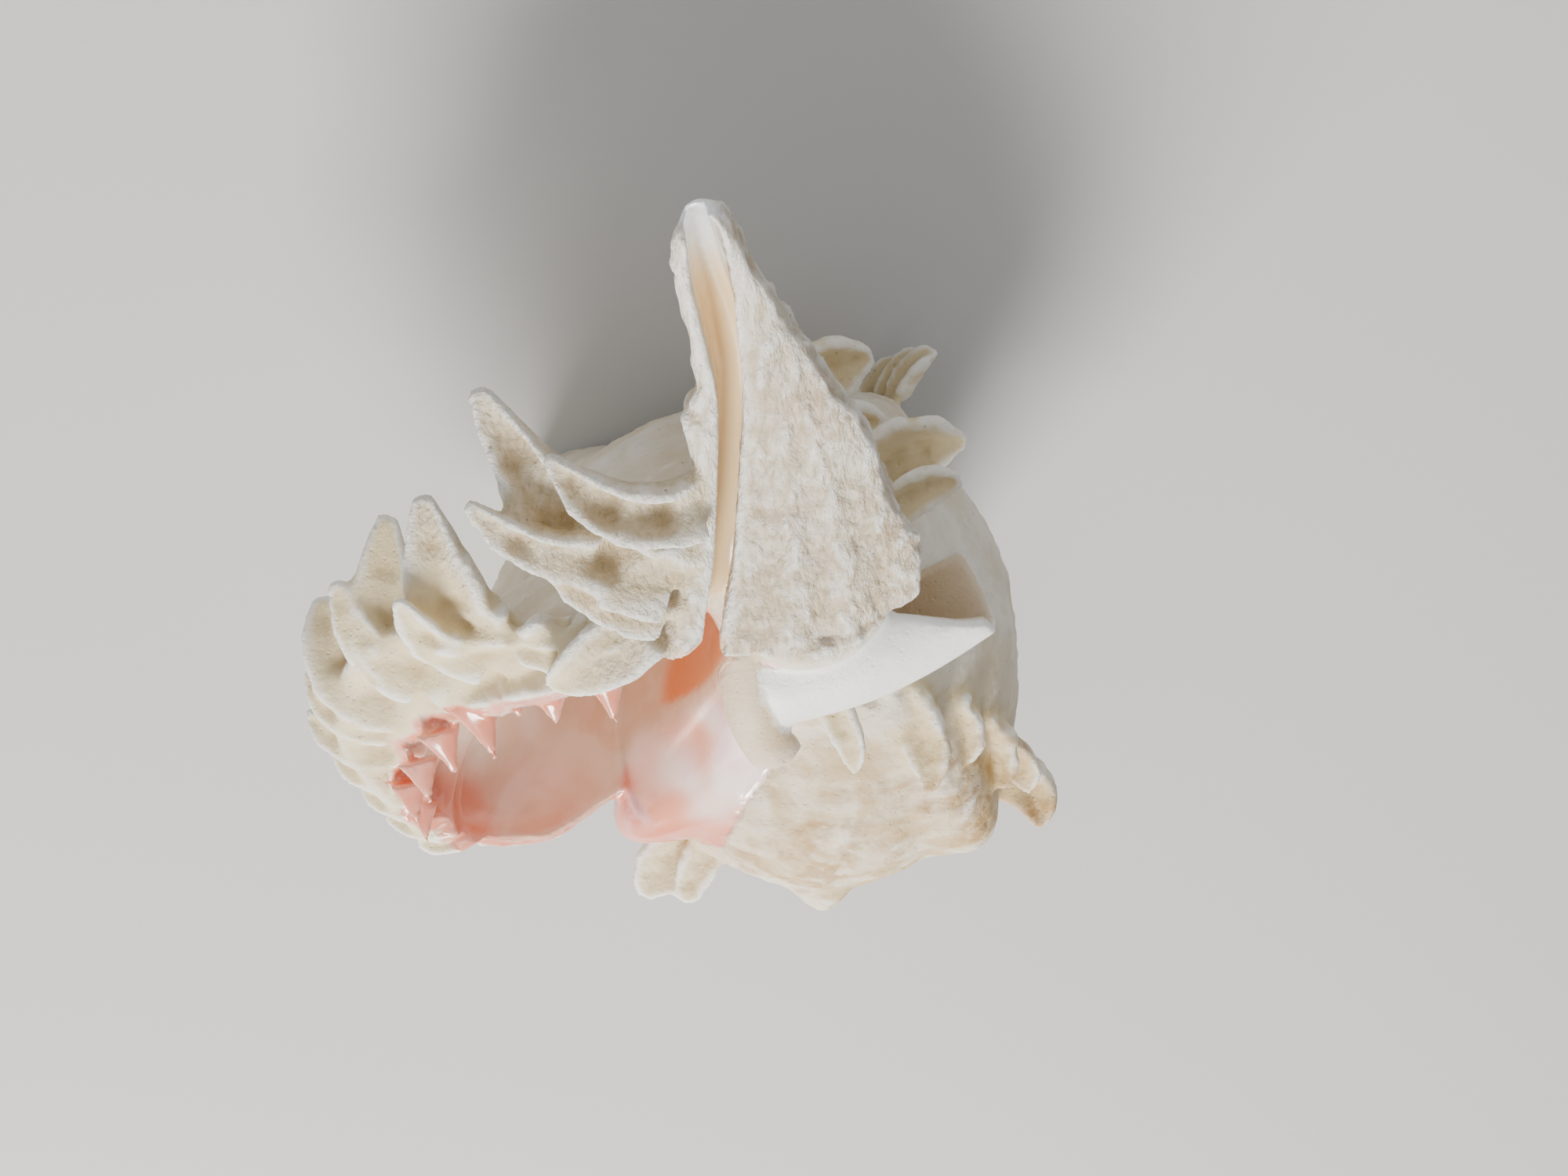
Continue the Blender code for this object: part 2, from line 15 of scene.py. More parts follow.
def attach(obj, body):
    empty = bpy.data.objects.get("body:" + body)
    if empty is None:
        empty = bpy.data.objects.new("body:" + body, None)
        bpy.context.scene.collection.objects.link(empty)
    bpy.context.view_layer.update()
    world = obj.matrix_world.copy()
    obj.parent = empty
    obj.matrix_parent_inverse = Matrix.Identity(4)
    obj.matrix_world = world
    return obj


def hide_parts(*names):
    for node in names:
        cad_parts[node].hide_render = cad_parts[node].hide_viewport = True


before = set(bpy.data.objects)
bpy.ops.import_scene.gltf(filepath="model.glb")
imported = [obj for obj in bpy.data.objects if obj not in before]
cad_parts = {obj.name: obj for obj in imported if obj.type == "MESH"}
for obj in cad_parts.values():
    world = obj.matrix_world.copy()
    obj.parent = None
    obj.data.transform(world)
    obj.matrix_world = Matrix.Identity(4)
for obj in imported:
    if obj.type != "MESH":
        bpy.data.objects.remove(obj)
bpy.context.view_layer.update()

MM = 0.001

# Coiling: every length grows by e to this power for each radian that the shell turns. Turns are in
# degrees, 0 at the present lip, which stands at LIP_AZIMUTH from -X by way of +Y.
GROWTH = 0.094
LIP_AZIMUTH = 200.0
FIRST_TURN = -1560.0
SPIRE_TURN = -760.0
SPIRE_STEP = 5.0
BODY_STEP = 2.0

# Whorl outline as (radius, h) at the lip, from the suture round to the base of the canal: plain, and
# flared. For each point of the flared edge, LEAD is how many degrees it runs past the lip.
WHORL = [(20, 40), (28, 45), (34, 50), (38, 56), (39, 64), (38, 74), (34, 86), (27, 97), (20, 106), (14, 114)]
FLARE = [(20, 40), (27, 44), (36, 46.5), (44, 50.5), (48.5, 57), (49, 68), (46, 77),
         (40, 87), (32, 96), (22, 106)]
LEAD = [6, 9, 10.5, 5, 1, -3.5, -7.5, -7, -2, 6]
LEAD_START = -40.0
AXIS_GAP = 0.5
AXIS_RISE = 12.0
FLARE_START = -34.0
FLARE_FULL = -9.0
OUTLINE_STEPS = 6
CORD_HEIGHT = 0.22
CORD_COUNT = 1.6
RIPPLE_HEIGHT = 0.35
FOLD_COUNT = 1.4
FOLD_HEIGHT = 0.9
FOLD_LEAD = 1.1
FOLD_START = -26.0
FOLD_FULL = -6.0

# Varices stand about a third of a turn apart. The earlier ones keep VARIX_WEAR of the flare.
VARIX_TURNS = [-120.0, -234.0] + [-120.0 * k for k in range(3, 12)]
VARIX_WEAR = 0.5
VARIX_BACK = 14.0
VARIX_FRONT = 9.0
# Shoulder knobs between them: turn, height, spread in degrees and in points of the outline
KNOBS = [(-62.0, 9.5, 13.0, 1.1), (-182.0, 1.0, 9.0, 1.1), (-192.0, -3.6, 26.0, 3.0), (-287.0, 4.8, 7.5, 1.1)]
KNOBS += [(-420.0 - 120.0 * k, 4.5, 8.0, 1.1) for k in range(9)]
KNOB_POINT = 3
KNOB_LIFT = 0.35

# Cavity outline as (radius, h): deep inside, and at the flared lip, where each point has a lead too
CAVITY = [(23.5, 46.5), (30, 51.5), (34, 58), (35, 66.5), (33.5, 77), (29, 87), (22.5, 96), (16, 103),
          (11.5, 106), (9.3, 98), (9.6, 84), (11.2, 70.5), (14.8, 59), (19, 50.5)]
CAVITY_RIM = [(24.5, 46), (33.5, 48.6), (41.5, 52.3), (46, 59.2), (46.8, 68.7), (43.5, 77.5), (36.8, 86.3),
              (29.3, 94.5), (21, 103), (11.5, 110), (9.3, 90), (10.8, 74), (14, 62), (18.5, 53)]
CAVITY_LEAD = [10, 12, 7.5, 3, 0, -5, -7.5, -5, 2, 9, 6, 4, 4, 6]
CAVITY_DEEP = -165.0
CAVITY_FLARES = -24.0
CAVITY_FLARED = -2.0
CAVITY_OUT = 16.0
CAVITY_SPREAD = 0.03

# The pillar that the aperture winds round: h and radius
COLUMELLA = [(40, 6.0), (62, 9.5), (80, 9.0), (98, 9.0), (112, 9.5)]

# Canal, as h and the reach of its section: left (+X), right (-X), front (-Y) and back (+Y)
CANAL = [
    (84, 9.5, -9.0, -7.0, 13.0),
    (100, 10.5, -9.5, -6.0, 14.5),
    (109, 12.0, -9.6, -6.0, 12.0),
    (117, 11.5, -9.0, -5.0, 11.5),
    (126, 10.5, -7.0, -1.5, 11.2),
    (135, 9.0, -4.8, 1.6, 11.5),
    (144, 8.6, -2.2, 4.0, 12.0),
    (152, 8.1, 0.2, 5.3, 12.0),
    (160, 8.2, 2.4, 6.5, 12.2),
    (168, 8.5, 4.2, 7.2, 12.0),
    (176, 8.5, 5.0, 7.4, 11.0),
    (182, 8.0, 5.6, 7.0, 8.9),
]
# Slit along the canal's front: h, x, y of its middle, half width, radius of the channel behind it
SLIT = [
    (98, 13.0, -8.0, 1.5, 2.6),
    (106, 12.0, -9.5, 1.0, 2.6),
    (112, 9.5, -9.2, 0.8, 2.6),
    (119, 8.3, -5.6, 0.95, 2.4),
    (127, 7.2, -2.2, 0.95, 2.3),
    (136, 6.5, 1.2, 0.95, 2.2),
    (144, 6.0, 3.4, 0.95, 1.9),
    (151, 5.8, 4.6, 1.0, 1.7),
    (161, 6.2, 6.4, 1.2, 1.4),
    (169, 6.5, 6.9, 1.4, 1.2),
    (176, 6.7, 6.8, 1.2, 0.95),
    (183, 6.8, 5.7, 1.0, 0.8),
    (187, 6.8, 5.0, 1.0, 0.8),
]
CHANNEL_WALL = 1.2
# Broad front plate of the canal: h, x and y of its edge at the slit, x and y of its outer edge
PLATE = [
    (111.5, 8.7, -9.4, -11.0, -3.9),
    (115, 8.0, -8.0, -11.2, -3.5),
    (121, 7.2, -5.0, -10.7, -1.9),
    (129, 6.3, -1.4, -7.9, 0.3),
    (135, 5.9, 1.0, -6.8, 2.1),
    (142, 5.4, 3.0, -5.3, 3.4),
    (149, 4.9, 4.3, -2.6, 4.9),
    (160, 4.8, 6.3, 1.0, 7.0),
    (167, 5.0, 7.1, 2.9, 7.4),
    (176, 5.4, 7.4, 4.5, 7.6),
    (181, 5.7, 6.8, 5.2, 7.0),
]
PLATE_THICK = 2.4
PLATE_SWELL = 0.09
# Rounded rim on the lip's side of the slit: h, x, y, radius
RIM = [
    (104, 14.0, -7.0, 2.6),
    (110, 12.2, -7.4, 2.3),
    (116, 11.0, -5.4, 2.1),
    (122, 10.0, -3.2, 2.0),
    (128, 9.2, -1.0, 1.8),
    (135, 8.3, 1.4, 1.4),
    (140, 8.2, 3.0, 1.4),
    (146, 8.2, 4.6, 1.6),
    (151, 7.6, 5.6, 1.1),
    (158, 7.8, 6.6, 1.1),
    (167, 8.3, 7.6, 1.0),
    (176, 8.2, 7.8, 1.0),
    (180, 7.8, 7.2, 0.8),
]

# Callus laid over the earlier whorl beside the aperture: (radius, h) on its face, and behind it.
# For each point of the face: its share of the raised flange, and the degrees it stops short of the end.
CALLUS_FACE = [(38, 64), (40.5, 71), (40, 80), (35, 92), (27.5, 104), (22, 119),
               (18.5, 138), (16.5, 158), (16, 174)]
CALLUS_RAISED = [0, 1, 0.8, 0.15, 0, 0, 0, 0, 0]
CALLUS_SHORT = [9, 9, 9, 7, 4, 1, 0, 0, 0]
CALLUS_BACK = [(10, 174), (10, 138), (12, 119), (20, 100), (28, 86), (33, 70)]
CALLUS_TURNS = [-366.0 + 2.5 * k for k in range(23)]
FLANGE_TURN = -345.0
FLANGE_SPREAD = 14.0
FLANGE_HEIGHT = 10.0

# Fronds of the present lip: base, bend, tip, half width, cup, lobes of the edges
LIP_FRONDS = [
    ((9.0, -0.5, -136), (16, -4.5, -138), (22, 3, -141), 3.2, 2.6, 0.25),
    ((11.5, -4.5, -124), (20, -5, -130), (27.8, 9, -141), 4.6, 3.4, 0.35),
    ((19, -3, -128), (25, -4, -131), (29.5, 0.5, -136), 2.6, 2.0, 0.2),
    ((13, -7, -118), (19, -7, -122), (23.5, -3.5, -129), 2.4, 1.8, 0.3),
    ((16, -7, -115), (21, -10, -110), (25.8, -10.2, -103.5), 3.6, 2.2, 0.0),
    ((24, -5.0, -107), (27, -8, -104), (30, -4, -103), 3.2, 2.2, 0.1),
    ((31.5, -5.0, -98.5), (36, -5, -102), (36.8, 7.5, -113), 4.9, 3.6, 0.3),
    ((34, -4.8, -96.5), (38, -6, -101), (40.2, -1.5, -108), 3.0, 2.2, 0.2),
    ((40, -5.0, -89), (45, -4, -92), (42.8, 9.8, -98), 4.8, 3.4, 0.3),
    ((42.5, -4.8, -87), (47, -4, -91), (49, 4, -95), 3.0, 2.2, 0.2),
    ((45, -5.8, -80), (52, -5, -81), (52.4, 5, -83), 5.2, 3.6, 0.15),
    ((46.5, -8.0, -76), (53, -8, -77), (55, -2, -78), 3.2, 2.4, 0.15),
    ((46.5, -9.8, -71), (53, -11, -72), (56.5, -5.5, -72), 3.0, 2.2, 0.15),
    ((45.5, -11.6, -67), (51, -14, -68), (54.5, -9.5, -68), 2.8, 2.0, 0.1),
    ((42, -15, -63), (49, -16, -63), (52.3, -13, -62.5), 2.8, 2.0, 0.1),
    ((40, -16, -59), (47, -18, -58), (50.5, -15.5, -57), 2.8, 2.0, 0.1),
    ((38, -16, -56), (44, -19.5, -55), (47, -19, -54.5), 2.6, 1.8, 0.1),
]
# The way the fronds' hollow sides face, and the number of scales that overlap along a frond
FROND_FRONT = (0.2, -0.75, -0.6)
SCALES = 3.4
# Thickness of the fronds' walls as a share of their half width: the canal's own are deep scrolls.
# The wall grows by THICK_FOOT times that at a frond's foot.
LIP_SOLID = 0.55
OPEN_SOLID = 0.3
OPEN_BELOW = -122.0
THICK_FOOT = 1.2

# Sheet that joins the fronds of the lip: which of them, and how far it reaches along each
WEB = [(4, 0.25), (5, 0.3), (6, 0.34), (7, 0.5), (8, 0.5), (9, 0.5), (10, 0.5), (11, 0.5),
       (12, 0.55), (13, 0.6), (14, 0.6), (15, 0.6), (16, 0.6)]
WEB_THICK = 2.6
WEB_FOOT = -4.5
WEB_EDGE = 2.0

# Teeth of the lip's edge: base, tip and half width
TEETH = [
    ((20.4, -8.6, -102.5), (19.4, -13.3, -99.5), 2.0),
    ((26.6, -8.8, -95.8), (25.9, -12.4, -93.5), 1.9),
    ((30.8, -8.0, -91), (30.2, -10.8, -89.5), 1.4),
    ((35.4, -8.4, -87), (33.5, -14.0, -84), 2.3),
    ((40.2, -10.0, -81), (38.5, -14.8, -78), 2.1),
    ((43.4, -12.2, -74.5), (42.2, -17.0, -72.5), 2.0),
    ((45.4, -13.8, -68.5), (44.6, -18.6, -66.5), 1.9),
    ((45.0, -15.4, -62.5), (44.4, -20.0, -61), 1.8),
]
# A tooth is a flat, slightly hollow-sided point: its front, thickness, broad foot and blunt end
TOOTH_FRONT = (0.2, 0.1, -1.0)
TOOTH_FLATNESS = 0.55
TOOTH_FOOT = 0.40
TOOTH_POINT = 0.12

# Worn fronds that stand on the last three earlier varices, beside the canal
EARLIER_FRONDS = [
    ((1, 27, -76), (-4, 31.5, -79), (-9.2, 31, -80), 4.4, 2.8, 0.2),
    ((-3, 21, -83), (-6, 23.5, -85), (-9.8, 21.4, -86), 2.8, 2.2, 0.2),
    ((-7, 12, -94), (-12, 17, -97), (-17.8, 15.5, -97), 4.2, 2.6, 0.2),
    ((-9, 8, -98), (-14, 12, -99), (-17, 10.5, -99), 2.6, 1.8, 0.0),
    ((-3, -9, -80), (-5, -13, -79), (-5.1, -16, -75), 2.2, 1.6, 0.0),
    ((-10, -6, -72), (-15, -11, -70), (-13.5, -17, -66), 3.2, 2.4, 0.1),
    ((-15, -6, -66), (-19, -9, -64), (-18.5, -13, -62), 3.2, 2.4, 0.2),
    ((-18, -7, -60), (-23.5, -10, -58), (-22.8, -15, -54), 3.4, 2.6, 0.2),
    ((-21, -9, -52), (-27.5, -11, -50), (-26.5, -14.5, -47), 3.0, 2.2, 0.1),
    ((-21, -10, -44), (-30, -12, -42), (-28.6, -18, -40), 3.9, 3.0, 0.1),
    ((15, -16, -35), (20, -21, -31), (21.5, -24, -28), 3.4, 2.4, 0.2),
    ((12, -17, -36), (16, -23, -31), (16, -25, -29), 2.6, 2.0, 0.0),
]
# Earlier varices that carry shorter copies of the lip's fronds, with their feet set in. The fronds
# that would be too narrow or that stand too low are left out.
WORN_LENGTH = 0.62
WORN_FOOT = 0.93
WORN_NARROWEST = 1.2
WORN_TURNS = [-120.0, -360.0, -480.0, -600.0, -720.0]
WORN_LOWEST = -76.0
WORN_SOLID = 0.6

# Remnants of the two earlier canals: stations of x, y, h, radius and the sweep of the near wall in
# degrees, and the way each gutter opens
TUBE = [(3.6, -6.4, 95.5, 7.0, 110), (-4.0, -4.6, 97, 7.2, 110), (-10.6, -2.2, 98.5, 6.9, 100),
        (-16.8, 0.4, 100.5, 6.2, 45)]
TAN = [(5.6, -5.0, 102, 3.6, 110), (5.4, -9.0, 97.5, 3.6, 110), (5.0, -12.2, 93, 3.2, 110),
       (3.4, -14.2, 89, 3.4, 110)]
TUBE_OPENS = (0.15, 0.9, -0.42)
TAN_OPENS = (-0.6, 0.2, 0.75)
GUTTER_WALL = 1.6
FAR_SWEEP = 110.0

# How the shell lies: turns about X, Y and Z from the growth frame, then a shift in millimetres
REST_TILT = (-129.9, 13.9, -17.7)
REST_SHIFT = (-7.35, 75.6, -1.25)

# Cells of the two fusing steps in millimetres, and the triangles that are kept
FUSE_VOXEL = 0.5
SKIN_VOXEL = 0.42
FACE_COUNT = 196000
# Rounds of smoothing that give the wider surroundings of a point
RELIEF_ROUNDS = 14

# Camera in the growth frame: its tilt off the coiling axis and roll, and its place
CAMERA_TILT = 13.0
CAMERA_ROLL = -2.0
CAMERA_AIM = (0.0, 0.0, -100.0)
CAMERA_AWAY = 240.0
CAMERA_SIDE = 2.0
CAMERA_LENS = 54.07
SENSOR = 36.0

# The floor's reach in metres, and the strength of the light from all round
FLOOR_REACH = 3.0
WORLD_STRENGTH = 0.30


def growth(turn):
    """Size of the shell at a turn in degrees, 1 at the lip."""
    return math.exp(GROWTH * math.radians(turn))


def coil_point(turn, radius, h):
    """Place a point of the lip outline where it was when the lip stood at this turn."""
    size = growth(turn)
    angle = math.radians(LIP_AZIMUTH + turn)
    return Vector((-radius * size * math.cos(angle), radius * size * math.sin(angle), -h * size))


def coil_matrix(turn):
    """The move that takes the present lip back to an earlier one."""
    return Matrix.Rotation(math.radians(-turn), 4, "Z") @ Matrix.Scale(growth(turn), 4)


def ease(value):
    """Smooth step from 0 to 1."""
    value = min(1.0, max(0.0, value))
    return value * value * (3.0 - 2.0 * value)


def rise_between(value, start, full):
    """0 before `start`, 1 after `full`, smooth between."""
    return ease((value - start) / (full - start))


def mix(a, b, share):
    """The value at a share of the way from a to b."""
    return a + (b - a) * share


def curve_through(points, steps):
    """A smooth open curve through points of any number of coordinates."""
    made = []
    last = len(points) - 1
    for k in range(last):
        before, here, there, after = points[max(k - 1, 0)], points[k], points[k + 1], points[min(k + 2, last)]
        for step in range(steps):
            t = step / steps
            made.append(tuple(
                0.5 * (2 * b + (c - a) * t + (2 * a - 5 * b + 4 * c - d) * t * t
                       + (3 * b - a - 3 * c + d) * t ** 3)
                for a, b, c, d in zip(before, here, there, after)))
    made.append(tuple(points[last]))
    return made


def mesh_from(name, bm):
    """Turn a bmesh into a mesh, and free it."""
    mesh = bpy.data.meshes.new(name)
    bm.to_mesh(mesh)
    bm.free()
    return mesh


def new_object(name, data):
    """Put a mesh, lens or lamp into the scene."""
    made = bpy.data.objects.new(name, data)
    bpy.context.scene.collection.objects.link(made)
    return made


def append(target, bm):
    """Add a finished small bmesh to a larger one."""
    mesh = mesh_from("form", bm)
    target.from_mesh(mesh)
    bpy.data.meshes.remove(mesh)


def loft(target, rings):
    """Extrude a closed loop through the rings, and close both ends."""
    bm = bmesh.new()
    loop = [bm.verts.new(point) for point in rings[0]]
    edges = [bm.edges.new((loop[k], loop[(k + 1) % len(loop)])) for k in range(len(loop))]
    bmesh.ops.edgeloop_fill(bm, edges=edges)
    for ring in rings[1:]:
        grown = bmesh.ops.extrude_edge_only(bm, edges=edges)["geom"]
        fresh = {item for item in grown if isinstance(item, bmesh.types.BMVert)}
        loop = [next(e.other_vert(v) for e in v.link_edges if e.other_vert(v) in fresh) for v in loop]
        edges = [bm.edges.get((loop[k], loop[(k + 1) % len(loop)])) for k in range(len(loop))]
        for vert, point in zip(loop, ring):
            vert.co = point
    bmesh.ops.edgeloop_fill(bm, edges=edges)
    bmesh.ops.recalc_face_normals(bm, faces=bm.faces)
    append(target, bm)


def varix_rise(turn):
    """How far the whorl stands out towards the flared outline at a turn, 0 to 1."""
    rise = rise_between(turn, FLARE_START, FLARE_FULL)
    for centre in VARIX_TURNS:
        offset = turn - centre
        if -VARIX_BACK - VARIX_FRONT < offset <= -VARIX_FRONT:
            rise = VARIX_WEAR * ease((offset + VARIX_BACK + VARIX_FRONT) / VARIX_BACK)
        elif -VARIX_FRONT < offset < VARIX_FRONT:
            rise = VARIX_WEAR * ease((VARIX_FRONT - offset) / (2 * VARIX_FRONT))
    return rise


def knob_rise(turn, point):
    """Height of the shoulder knobs, in millimetres at the lip's size."""
    height = 0.0
    for centre, high, spread, wide in KNOBS:
        along = (turn - centre) / spread
        across = (point - KNOB_POINT) / wide
        height += high * math.exp(-along * along - across * across)
    return height


def surface_relief(turn, point):
    """Spiral cords and low growth ripples of the whorls, in millimetres at the lip's size."""
    fade = ease(point) * ease(9.0 - point)
    cords = CORD_HEIGHT * math.cos(2 * math.pi * CORD_COUNT * point)
    ripple = RIPPLE_HEIGHT * noise.noise(Vector((turn * 0.16, point * 0.35, 3.0)))
    return fade * (cords + ripple)


def lip_fold(point):
    """Folds that run into the mouth from the lip's edge, -1 to 1 along the outline."""
    return math.cos(2 * math.pi * FOLD_COUNT * point) * ease((point - 2.0) / 1.2) * ease(7.5 - point)


def whorls(bm):
    """The coiled body and spire, with varices, knobs, cords and the flared lip."""
    turns = [FIRST_TURN + SPIRE_STEP * k for k in range(int((SPIRE_TURN - FIRST_TURN) / SPIRE_STEP))]
    turns += [SPIRE_TURN + BODY_STEP * k for k in range(int(-SPIRE_TURN / BODY_STEP) + 1)]
    rings = []
    plain = curve_through(WHORL, OUTLINE_STEPS)
    flared = curve_through([outline + (lead,) for outline, lead in zip(FLARE, LEAD)], OUTLINE_STEPS)
    for turn in turns:
        rise = varix_rise(turn)
        lead_share = rise_between(turn, LEAD_START, 0.0)
        ring = []
        for k, ((r0, h0), (r1, h1, lead)) in enumerate(zip(plain, flared)):
            point = k / OUTLINE_STEPS
            knob = knob_rise(turn, point)
            out = knob + surface_relief(turn, point)
            lead += FOLD_LEAD * lip_fold(point)
            level = mix(h0, h1, rise) - KNOB_LIFT * knob
            ring.append(coil_point(turn + lead * lead_share, mix(r0, r1, rise) + out, level))
        ring.append(coil_point(turn, AXIS_GAP, WHORL[-1][1]))
        ring.append(coil_point(turn, AXIS_GAP, WHORL[0][1] - AXIS_RISE))
        rings.append(ring)
    loft(bm, rings)


def aperture_cutter(bm):
    """The hollow of the last half whorl, opening at the folded lip."""
    rings = []
    deep = curve_through(CAVITY + CAVITY[:1], OUTLINE_STEPS)[:-1]
    closed = [o + (lead,) for o, lead in zip(CAVITY_RIM + CAVITY_RIM[:1], CAVITY_LEAD + CAVITY_LEAD[:1])]
    rim = curve_through(closed, OUTLINE_STEPS)[:-1]
    turns = [CAVITY_DEEP + 5.0 * k for k in range(28)]
    turns += [-25.0 + 2.0 * k for k in range(16)] + [11.0, CAVITY_OUT]
    for turn in turns:
        share = rise_between(turn, CAVITY_FLARES, CAVITY_FLARED)
        folds = rise_between(turn, FOLD_START, FOLD_FULL)
        past = max(0.0, turn) / CAVITY_OUT
        ring = []
        for k, ((r0, h0), (r1, h1, lead)) in enumerate(zip(deep, rim)):
            fold = lip_fold(k / OUTLINE_STEPS) * folds
            radius = (mix(r0, r1, share) - FOLD_HEIGHT * fold) * (1.0 + CAVITY_SPREAD * past)
            turned = turn + (lead + FOLD_LEAD * fold) * share
            ring.append(coil_point(turned, radius, mix(h0, h1, share) + 0.5 * FOLD_HEIGHT * fold))
        rings.append(ring)
    loft(bm, rings)


def oval(centre, half_x, half_y, h, count=40, square=1.0):
    """A level oval ring, squarer as `square` falls below 1."""
    ring = []
    for k in range(count):
        angle = 2 * math.pi * k / count
        c, s = math.cos(angle), math.sin(angle)
        ring.append(Vector((centre[0] + half_x * math.copysign(abs(c) ** square, c),
                            centre[1] + half_y * math.copysign(abs(s) ** square, s), -h)))
    return ring


def canal(bm):
    """The siphonal canal, bent towards the back, its front plate and the rim across the slit."""
    rings = []
    for h, left, right, front, back in curve_through(CANAL, 5):
        centre = ((left + right) / 2, (front + back) / 2)
        rings.append(oval(centre, (left - right) / 2, (back - front) / 2, h, square=0.85))
    loft(bm, rings)
    rings = []
    for h, x0, y0, x1, y1 in curve_through(PLATE, 6):
        front = []
        jag = 0.45 * noise.noise(Vector((h * 0.55, 0.0, 7.0)))
        for k in range(25):
            share = k / 24
            width = x0 - x1
            swell = PLATE_SWELL * width * math.sin(math.pi * share)
            ridges = 0.028 * width * ease(2 * share) * ease(3 - 3 * share) * math.sin(21.0 * share + 0.6)
            x = mix(x0 + jag, x1, share)
            front.append(Vector((x, mix(y0, y1, share) - swell - ridges, -h)))
        rings.append(front + [point + Vector((0, PLATE_THICK, 0)) for point in reversed(front)])
    loft(bm, rings)
    rings = []
    for h, x, y, radius in curve_through(RIM, 6):
        wave = 0.35 * noise.noise(Vector((h * 0.4, 5.0, 0.0)))
        rings.append(oval((x + wave, y), radius + 0.6 * wave, radius * 1.4, h, count=20))
    loft(bm, rings)


def canal_cutter(bm):
    """The slit and the channel behind it, from the aperture to the broken tip."""
    rings = []
    for h, x, y, gap, radius in curve_through(SLIT, 5):
        jag = 0.22 * noise.noise(Vector((h * 0.9, 2.0, 9.0)))
        middle = Vector((x + gap - radius + 0.2, y + CHANNEL_WALL + radius, -h))
        ring = [Vector((x + gap, y - 5.0, -h)), Vector((x - gap - jag, y - 5.0, -h))]
        ring.append(Vector((x - gap - jag, middle.y - 0.6 * radius, -h)))
        for k in range(17):
            angle = math.radians(mix(205.0, -10.0, k / 16))
            ring.append(middle + Vector((radius * math.cos(angle), radius * math.sin(angle), 0)))
        rings.append(ring)
    loft(bm, rings)


def columella(bm):
    """The pillar that the aperture winds round."""
    loft(bm, [oval((0, 0), radius, radius, h) for h, radius in curve_through(COLUMELLA, 5)])


def callus(bm):
    """The smooth sheet over the earlier whorl, thinning out at its free edge."""
    rings = []
    rows = [place + more for place, more in zip(CALLUS_FACE, zip(CALLUS_RAISED, CALLUS_SHORT))]
    face = curve_through(rows, 4)
    back = curve_through(CALLUS_BACK, 4)
    for turn in CALLUS_TURNS:
        thin = 1.0 - 0.10 * rise_between(turn, -330.0, -311.0)
        flange = FLANGE_HEIGHT * math.exp(-((turn - FLANGE_TURN) / FLANGE_SPREAD) ** 2)
        far = rise_between(turn, FLANGE_TURN, CALLUS_TURNS[-1])
        ring = [coil_point(turn - far * short, radius * thin + flange * raised, h)
                for radius, h, raised, short in face]
        ring += [coil_point(turn, radius * 0.95, h) for radius, h in back]
        rings.append(ring)
    loft(bm, rings)


def frond(bm, base, bend, tip, width, cup, front, lobes, solid, steps=30, arc=17):
    """A fluted frond of overlapping scales: a C section swept along a bent line, open towards `front`."""
    base, bend, tip, front = (Vector(v) for v in (base, bend, tip, front))
    seed = base.x * 1.7 + base.z
    rings = []
    for step in range(steps + 1):
        t = step / steps
        centre = base * (1 - t) ** 2 + bend * (2 * t * (1 - t)) + tip * t * t
        axis = ((bend - base) * (1 - t) + (tip - bend) * t).normalized()
        side = axis.cross(front).normalized()
        opening = side.cross(axis)
        taper = (1.0 - t ** 3.2) * 0.78 + 0.22
        phase = t * SCALES + 0.3 + 0.3 * noise.noise(Vector((seed, t * 2.0, 1.0)))
        scale = (phase - math.floor(phase)) ** 1.5
        half = width * taper * (1.0 + 0.10 * noise.noise(Vector((t * 6.0, seed, 0.0))))
        deep = cup * taper
        wall = max(0.7, solid * half * (1.0 + THICK_FOOT * (1.0 - t) ** 5))
        outer, inner = [], []
        for k in range(arc):
            angle = math.radians(mix(-118.0, 118.0, k / (arc - 1)))
            flare = 1.0 + lobes * scale * taper * abs(math.sin(angle)) ** 4
            uneven = noise.noise(Vector((t * 9.0, angle * 1.5, seed)))
            rib = 1.0 + 0.04 * math.cos(7.0 * angle) + 0.06 * uneven
            across = side * flare * math.sin(angle)
            depth = opening * math.cos(angle)
            outer.append(centre + across * half * rib - depth * deep * rib)
            half_in = max(0.12 * half, half - wall * (1.0 + 0.5 * scale))
            deep_in = max(0.12 * deep, deep - wall * (1.0 + 0.9 * scale))
            inner.append(centre + across * half_in - depth * deep_in)
        rings.append(outer + inner[::-1])
    loft(bm, rings)


def lip_web(bm):
    """The sheet between the fronds, from the canal's side to the suture."""
    sections = []
    for row, reach in WEB:
        base, bend, tip = (Vector(v) for v in LIP_FRONDS[row][:3])
        edge = base * (1 - reach) ** 2 + bend * (2 * reach * (1 - reach)) + tip * reach * reach
        axis = (edge - base).normalized()
        face = axis.cross(Vector(FROND_FRONT)).cross(axis).normalized()
        sections.append(tuple(base + axis * WEB_FOOT) + tuple(edge) + tuple(face))
    rings = []
    for row in curve_through(sections, 6):
        foot, edge, face = Vector(row[:3]), Vector(row[3:6]), Vector(row[6:])
        front, behind = [], []
        for k in range(9):
            share = k / 8
            half = face * mix(WEB_THICK, WEB_EDGE, share) / 2
            fold = face * 0.5 * math.sin(9.0 * share)
            front.append(foot.lerp(edge, share) + half + fold)
            behind.append(foot.lerp(edge, share) - half + fold)
        rings.append(front + behind[::-1])
    loft(bm, rings)


